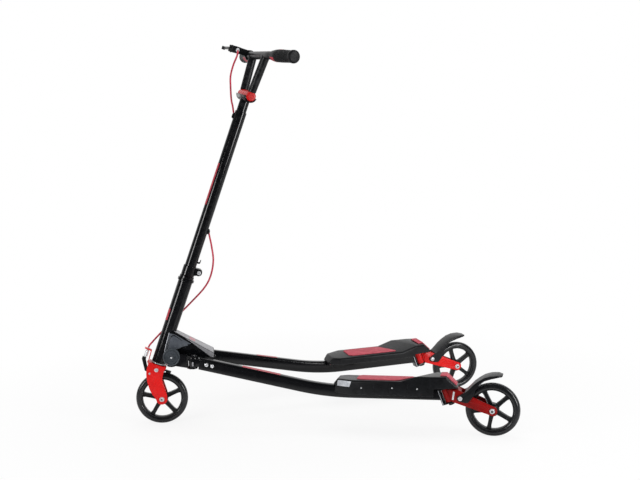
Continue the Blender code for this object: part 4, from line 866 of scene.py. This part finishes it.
def make_bar():
    stem = turned("stem", [(0.0115, 0.6600), (0.0137, 0.6600), (0.0137, 0.8760), (0.0115, 0.8760)], 64)
    crown = (0, CROWN_HIGH)
    saddle = arc(crown, 0.0180, 188, 352, 20) + arc(crown, 0.0138, 352, 188, 20)
    cradle = plate("cradle", saddle, -0.0410, 0.0410, 0.0006)
    done(placed(joined("bar_stem_fine", stem, cradle), BAR), "steering", "black_paint", "bar_stem")
    half = [
        (0.0135, 0.0351), (0.0131, 0.0355), (0.0131, 0.0371), (0.0135, 0.0375), (0.0134, 0.0415),
        (0.0128, 0.0440), (0.0119, 0.0447), (0.0105, 0.0450), (0.0070, 0.0450), (0.0064, 0.0446),
        (0, 0.0446)]
    barrel = turned("bar_crown_fine", both_ways(half), 64)
    # The crown barrel takes the darker red copy, which is painted shade.
    done(placed(y_axis(barrel, crown), BAR), "steering", "red_paint", "bar_crown", finish=DIMMED_CROWN_RED)
    swept_out = Vector((
        math.sin(BAR_SWEEP) * math.cos(GRIP_RISE), math.cos(BAR_SWEEP) * math.cos(GRIP_RISE),
        math.sin(GRIP_RISE)))
    bend = Vector((0, BAR_BEND, BAR_HIGH))
    near = bend - Vector((0, 0.010, 0))
    far = bend + swept_out * 0.010
    right = [near.lerp(bend, t / 6).lerp(bend.lerp(far, t / 6), t / 6) for t in range(7)]
    right.append(bend + swept_out * 0.1235)
    left = [Vector((p.x, -p.y, p.z)) for p in reversed(right)]
    cross = swept("crossbar", [LEAN @ p for p in left + right], ring(0.0111, 40))
    legs = []
    for side in (-1, 1):
        top = LEAN @ Vector((0, side * 0.0555, BAR_HIGH))
        foot = Vector((0, side * 0.0332, CROWN_HIGH))
        reach = foot + (top - foot).normalized() * 0.0125
        legs.append(swept("leg", [top, reach], ring(0.0114, 40), (1, 0, 0)))
    done(placed(joined("handlebar_fine", cross, *legs), BAR), "steering", "black_paint", "handlebar",
         finish=FINISH["black_plastic"])
    for name, side in SIDES.items():
        make_grip(name, side)


def make_grip(name, side):
    profile = [(0, 0.1315), (0.0120, 0.1315), (0.0155, 0.1306), (0.0172, 0.1285), (0.0175, 0.1262),
               (0.0175, 0.1225), (0.0169, 0.1205), (0.0160, 0.1188)]
    rib = 0.1170
    while rib > 0.0500:
        swell = 0.0170 - 0.0007 * abs(rib - 0.0700) / 0.04
        profile += [(swell - 0.0007, rib + 0.0014), (swell, rib + 0.0009), (swell, rib - 0.0009),
                    (swell - 0.0007, rib - 0.0014)]
        rib -= 0.0040
    profile += [(0.0166, 0.0478), (0.0164, 0.0440), (0.0157, 0.0380), (0.0147, 0.0320), (0.0138, 0.0260),
                (0.0133, 0.0220), (0.0128, 0.0206), (0.0112, 0.0206), (0.0112, 0.1238), (0, 0.1238)]
    grip = turned("grip_%s_fine" % name, profile, 48)
    done(placed(grip, grip_frame(side)), "steering", "grip_rubber", "grip_" + name, smooth=50)
    under = turned("grip_inlay_" + name, [
        (0.0130, 0.0262), (0.0142, 0.0262), (0.0151, 0.0320), (0.0161, 0.0380), (0.0168, 0.0440),
        (0.0169, 0.0470), (0.0150, 0.0470)], 20, 120, side * 90 - 60)
    over = turned("grip_mark_" + name, [
        (0.0160, 0.0560), (0.0172, 0.0560), (0.0173, 0.0640), (0.0173, 0.0720), (0.0160, 0.0720)], 10, 60,
        -side * 90 - 30)
    done(placed(joined("grip_accent_" + name, under, over), grip_frame(side)), "steering", "red_paint",
         finish=PRINT_RED)


def make_hand_brake():
    done(merged("brake_perch", 0.0009, 3), "steering", "black_plastic", "brake_perch")
    done(merged("brake_lever", 0.0010, 3), "lever", "black_plastic", "brake_lever")
    done(merged("lever_adjuster", 0.0004), "steering", "bright_steel", "lever_adjuster")


# Routes of the brake cable's two lengths in the steering frame, as in the model.

UPPER_ROUTE = [
    (-0.0578, 0.0605, 0.9700), (-0.0596, 0.0560, 0.9440), (-0.0575, 0.0485, 0.9134),
    (-0.0490, 0.0390, 0.8867), (-0.0360, 0.0195, 0.8530), (-0.0268, 0.0071, 0.8366),
    (-0.0228, 0.0048, 0.8285), (-0.0190, 0.0028, 0.8208)]
LOWER_ROUTE = [
    (-0.0186, 0.0026, 0.8200), (-0.0145, 0.0006, 0.8115), (-0.0080, 0, 0.7990), (-0.0025, 0, 0.7820),
    (0, 0, 0.7560), (0, 0, 0.6700), (0, 0, 0.5300), (0.0035, 0, 0.5110), (0.0100, 0, 0.4990),
    (0.0165, 0, 0.4895), (0.0235, 0, 0.4770), (0.0386, 0.0020, 0.4502), (0.0560, 0.0080, 0.4120),
    (0.0622, 0.0130, 0.3680), (0.0560, 0.0210, 0.3290), (0.0337, 0.0290, 0.2772), (0.0038, 0.0265, 0.2174),
    (-0.0230, 0.0170, 0.1650), (-0.0372, 0.0040, 0.1360), (-0.0400, 0, 0.1290), (-0.0400, 0, 0.1249)]


def cable(name, route, count, node):
    """Brake cable along its route, as a curve with its real length and its width of 5 mm."""
    line = [STEER @ p for p in smooth_line(route, count)]
    data = bpy.data.curves.new(name, "CURVE")
    data.dimensions = "3D"
    data.bevel_depth = 0.005 / 2
    data.bevel_resolution = 4
    data.use_fill_caps = True
    spline = data.splines.new("POLY")
    spline.points.add(count - 1)
    for point, place in zip(spline.points, line):
        point.co = (*place, 1)
    spline.use_smooth = True
    piece = new_object(name, data)
    done(piece, "steering", "cable_jacket", node)


def make_cables():
    way = Vector((-0.93, 0, -0.37)).normalized()
    seat = Vector((0.0065, 0.0388, 0.0068))
    perch = (turn(BAR_TURN, "Z") @ LEAN @ shift(0, BAR_BEND, BAR_HIGH) @ turn(-BAR_SWEEP, "Z")
             @ turn(GRIP_RISE, "X") @ turn(QUARTER, "Z"))
    start = [perch @ (seat + way * reach) for reach in (0.0196, 0.0240, 0.0285)]
    cable("cable_upper_fine", start + UPPER_ROUTE, 40, "cable_upper")
    cable("cable_lower_fine", LOWER_ROUTE, 96, "cable_lower")


# Wheels.

SPOKES = 5


def make_wheels():
    tyre = turned("tyre", both_ways([
        (0.0725, 0), (0.0723, 0.0024), (0.0718, 0.0048), (0.0709, 0.0073), (0.0696, 0.0092), (0.0678, 0.0106),
        (0.0655, 0.0115), (0.0632, 0.0119), (0.0612, 0.0118), (0.0590, 0.0112), (0.0575, 0.0104)]), 96)
    rim = turned("rim", both_ways([
        (0.0572, 0.0100), (0.0568, 0.0104), (0.0545, 0.0104), (0.0541, 0.0100), (0.0532, 0.0064),
        (0.0530, 0.0055)]), 96)
    spokes = []
    for i in range(SPOKES):
        spoke = plate("spoke", [
            (0.0140, -0.0062), (0.0300, -0.0053), (0.0460, -0.0052), (0.0540, -0.0070), (0.0540, 0.0070),
            (0.0460, 0.0052), (0.0300, 0.0053), (0.0140, 0.0062)], -0.0065, 0.0065)
        edit(spoke)
        pick(spoke, lambda middle, normal: abs(normal.y) > 0.9)
        bpy.ops.mesh.inset(thickness=0.0017, depth=-0.0016)
        leave()
        softened(spoke, 0.0004, 2, 40)
        spokes.append(placed(spoke, turn(-2 * math.pi * i / SPOKES, "Y")))
    for wheel, half, body, axle, phase in (
            ("front", 0.0157, "front_wheel", FRONT_AXLE @ turn(-RAKE, "Y"), -22.8),
            ("left", 0.0162, "wheel_left", CASTOR_AXLE["left"], -22.5),
            ("right", 0.0162, "wheel_right", CASTOR_AXLE["right"], -14.5)):
        place = axle @ turn(math.radians(phase), "Y")
        rise = [(0.0170, 0.0090), (0.0168, 0.0096), (0.0112, half - 0.0006), (0.0105, half), (0.0046, half)]
        hub = turned("hub", both_ways(rise), 48)
        core = joined(wheel + "_core_fine", y_axis(hub), y_axis(copied(rim, "rim_copy")),
                      *[copied(spoke, "spoke_copy") for spoke in spokes])
        done(placed(core, place), body, "black_plastic", wheel + "_core", smooth=40)
        done(placed(y_axis(copied(tyre, wheel + "_tyre_fine")), place), body, "wheel_tyre", wheel + "_tyre")
    for piece in [tyre, rim] + spokes:
        bpy.data.objects.remove(piece)


# Arms, decks and castors.

ARM_BEND = 0.0750


def make_arms():
    start = Vector((0.1110, 0.0555, 0.1800))
    bend = Vector((0.4530, 0.1290, 0.1073))
    end = Vector((0.7710, 0.2190, 0.1080)) - DECK_ALONG * 0.0259 + Vector((0, 0, 0.0014))
    first = (bend - start).normalized()
    second = (end - bend).normalized()
    enter = bend - first * ARM_BEND
    leave_at = bend + second * ARM_BEND
    path = [start - first * 0.0005, start + first * 0.09, start + first * 0.18]
    for i in range(13):
        t = i / 12
        path.append(enter.lerp(bend, t).lerp(bend.lerp(leave_at, t), t))
    path.append(end)
    section = rounded(0.0240, 0.0338, 0.0065, 5)
    loops = []
    for i, point in enumerate(path):
        before, after = path[max(i - 1, 0)], path[min(i + 1, len(path) - 1)]
        along = ((point - before).normalized() + (after - point).normalized()).normalized()
        side = Vector((0, 0, 1)).cross(along).normalized()
        high = along.cross(side)
        lean = math.tan(SWIVEL_TILT) if i == len(path) - 1 else 0.0
        loops.append([point + side * a + high * b - along * (b * lean) for a, b in section])
    arm = lofted("arm_right_fine", loops)
    edit(arm)
    pick(arm, lambda middle, normal: normal.dot(first) < -0.95)
    bpy.ops.mesh.inset(thickness=0.0018, depth=0)
    bpy.ops.mesh.extrude_region_move(TRANSFORM_OT_translate={"value": first * 0.006})
    leave()
    both_sides(placed(softened(arm, 0.0005, 2, 50), BASE), "arm_fine", "arm", "black_paint", "arm", smooth=40)
    side_way = Vector((0, 0, 1)).cross(first).normalized()
    up = first.cross(side_way)
    front = frame_of(first, side_way, up, start)
    bolts = [placed(plain_bolt("arm_bolt", 0.0052, 0.0046), front @ shift(x, 0.0122, 0.0020) @ outward(1))
             for x in (0.0200, 0.0365)]
    both_sides(placed(joined("arm_bolts", *bolts), BASE), "arm_bolts", "arm", "bright_steel")
    for name, side in SIDES.items():
        done(merged("knuckle_" + name, 0.0007), "arm_" + name, "charcoal_paint", "knuckle_" + name,
             finish=FINISH["black_paint"])
        # A thin grey strip wrapped on each arm's pin boss: a painted highlight.
        glint = strip_on("pin_glint_" + name, 0.0124, -0.0056, 0.0056, side * 97, 9, 0.0008)
        done(placed(glint, BASE @ shift(PIN[0], side * PIN[1], PIN[2])), "arm_" + name, "bright_steel",
             finish=PAINTED_GREY_REFLECTION)
        low, high = ((0.33, 0.63), (0.46, 0.63))[side > 0]
        marks = []
        for share in (low, high):
            middle = start.lerp(bend, share) + up * 0.01690
            left, right, thick = middle - side_way * 0.0078, middle + side_way * 0.0078, up * 0.00035
            marks.append([left, right, right + thick, left + thick])
        mark = placed(lofted("arm_mark_" + name, marks), BASE if side > 0 else MIRROR @ BASE)
        done(mark, "arm_" + name, "black_paint", finish=PRINT_RED)


def make_decks():
    for name in SIDES:
        done(merged("deck_" + name, 0.0018, 3, 28), "arm_" + name, "black_plastic", "deck_" + name)
    outline = [(0.0640, -0.0220), (0.0640, 0.0220), (0.0740, 0.0300), (0.1700, 0.0300), (0.1820, 0.0240),
               (0.2150, -0.0250), (0.2105, -0.0300), (0.0740, -0.0300)]
    pad = plate("front_pad", outline, 0.0003, 0.0024)
    placed(pad, Matrix(((1, 0, 0, 0), (0, 0, 1, 0), (0, 1, 0, 0), (0, 0, 0, 1))))
    softened(pad, 0.0008, 2, 60)
    both_sides(placed(pad, DECK), "front_pad_fine", "arm", "pad_rubber", "front_pad")
    heel = band("heel_pad", [
        (0.2890, 0.0248, 0.0148, 0, 0.0026), (0.3050, 0.0232, 0.0148, 0, 0.0034),
        (0.3325, 0.0181, -0.0110, 0, 0.0040)], 0.0008, 2, 50)
    both_sides(placed(heel, DECK), "heel_pad_fine", "arm", "pad_rubber", "heel_pad")
    screws = [placed(dome_bolt("deck_screw", 0.0021, 0.0010), shift(a, 0.0430, n) @ outward(1))
              for a, n in ((0.0790, -0.0200), (0.1620, -0.0180), (0.2290, -0.0185))]
    both_sides(placed(joined("deck_screws", *screws), DECK), "deck_screws", "arm", "bright_steel")
    seams = []
    for a in (0.1120, 0.1550, 0.2030):
        ahead, back = a - 0.0005, a + 0.0005
        edge = [(ahead, -0.0330), (back, -0.0330), (back, -0.0075), (ahead, -0.0075)]
        seams.append(plate("seam", edge, 0.0425, 0.0434, 0.0002))
    both_sides(placed(joined("deck_seams", *seams), DECK), "deck_seams", "arm", "black_plastic")
    face = shift(0.0110, 0.0230, 0) @ turn(math.atan2(0.0200, 0.0410), "Z")
    badge = plate("badge", [
        (-0.0002, -0.0190), (0.0395, -0.0190), (0.0445, -0.0070), (0.0452, -0.0035), (0.0030, -0.0035),
        (0.0012, -0.0060)], 0.0, 0.0007, 0.0003)
    both_sides(placed(badge, DECK @ face), "deck_panel", "arm", "black_plastic", finish=PALE_STEEL_AND_SHEEN)


def make_castors():
    x, z = inclined(0.034, -0.004)
    for name, sign in SIDES.items():
        done(merged("castor_mount_" + name, 0.0006), "arm_" + name, "charcoal_paint", "castor_mount_" + name,
             finish=FINISH["black_paint"])
        fork = merged("castor_fork_" + name, 0.0009)
        # The block's upper corners are lowered a little, so that it swivels free of the deck's hood.
        upright = CASTOR[name].inverted()
        for vertex in fork.data.vertices:
            local = upright @ vertex.co
            if local.z > 0.0150 and local.x > 0.0060 and abs(local.y) < 0.0180:
                vertex.co = CASTOR[name] @ (local - Vector((0, 0, 0.0016)))
        # The left castor's fork takes the darker red copy, which is painted shade.
        done(fork, "castor_" + name, "red_paint", "castor_fork_" + name,
             finish=SHADED_RED if name == "left" else None)
        trim = [plate("trim", [(-0.0218, -0.0215), (-0.0203, -0.0215), (-0.0203, 0.0205), (-0.0218, 0.0205)],
                      side * 0.0120 - 0.0003, side * 0.0120 + 0.0003, 0.0001) for side in (-1, 1)]
        done(placed(joined("mount_trim_" + name, *trim), SWIVEL[name]), "arm_" + name, "charcoal_paint",
             finish=PALE_STEEL_AND_SHEEN)
        axle = across_bolt("castor_axle_fine", cap_bolt, 0.0072, 0.0045, 0.0202, 0.0040)
        done(placed(axle, CASTOR_AXLE[name]), "castor_" + name, "bright_steel", "castor_axle_" + name,
             name="castor_axle_%s_fine" % name)
        sockets("castor_axle_sockets_" + name, 0.0072, 0.0045, 0.0202, CASTOR_AXLE[name], "castor_" + name)
        # A thin bright slanted strip on the outer side of each castor's bracket.
        slot = plate("bracket_strip_" + name, [inclined(d, h) for d, h in (
            (0.0118, -0.0086), (0.0164, -0.0098), (0.0202, 0.0128), (0.0156, 0.0140))],
            sign * 0.0202 - 0.0004, sign * 0.0202 + 0.0004, 0.0003)
        done(placed(slot, CASTOR[name]), "castor_" + name, "bright_steel")
        pivot = across_bolt("fender_bolt", plain_bolt, 0.0061, 0.0042, 0.0237, 0.0029)
        done(placed(pivot, CASTOR[name] @ shift(x, 0, z)), "castor_" + name, "bright_steel",
             name="fender_bolt_" + name)
        done(merged("fender_" + name, 0.0010, 3, 40), "fender_" + name, "black_plastic", "fender_" + name)
        done(merged("fender_strip_" + name, 0.0003), "fender_" + name, "bright_steel", "fender_strip_" + name)


# The scene.

make_camera()
make_cables()
make_light()
make_floor()
make_yoke()
make_head()
make_fork()
make_column()
make_front_brake()
make_bar()
make_hand_brake()
make_wheels()
make_arms()
make_decks()
make_castors()

bpy.ops.object.select_all(action="DESELECT")
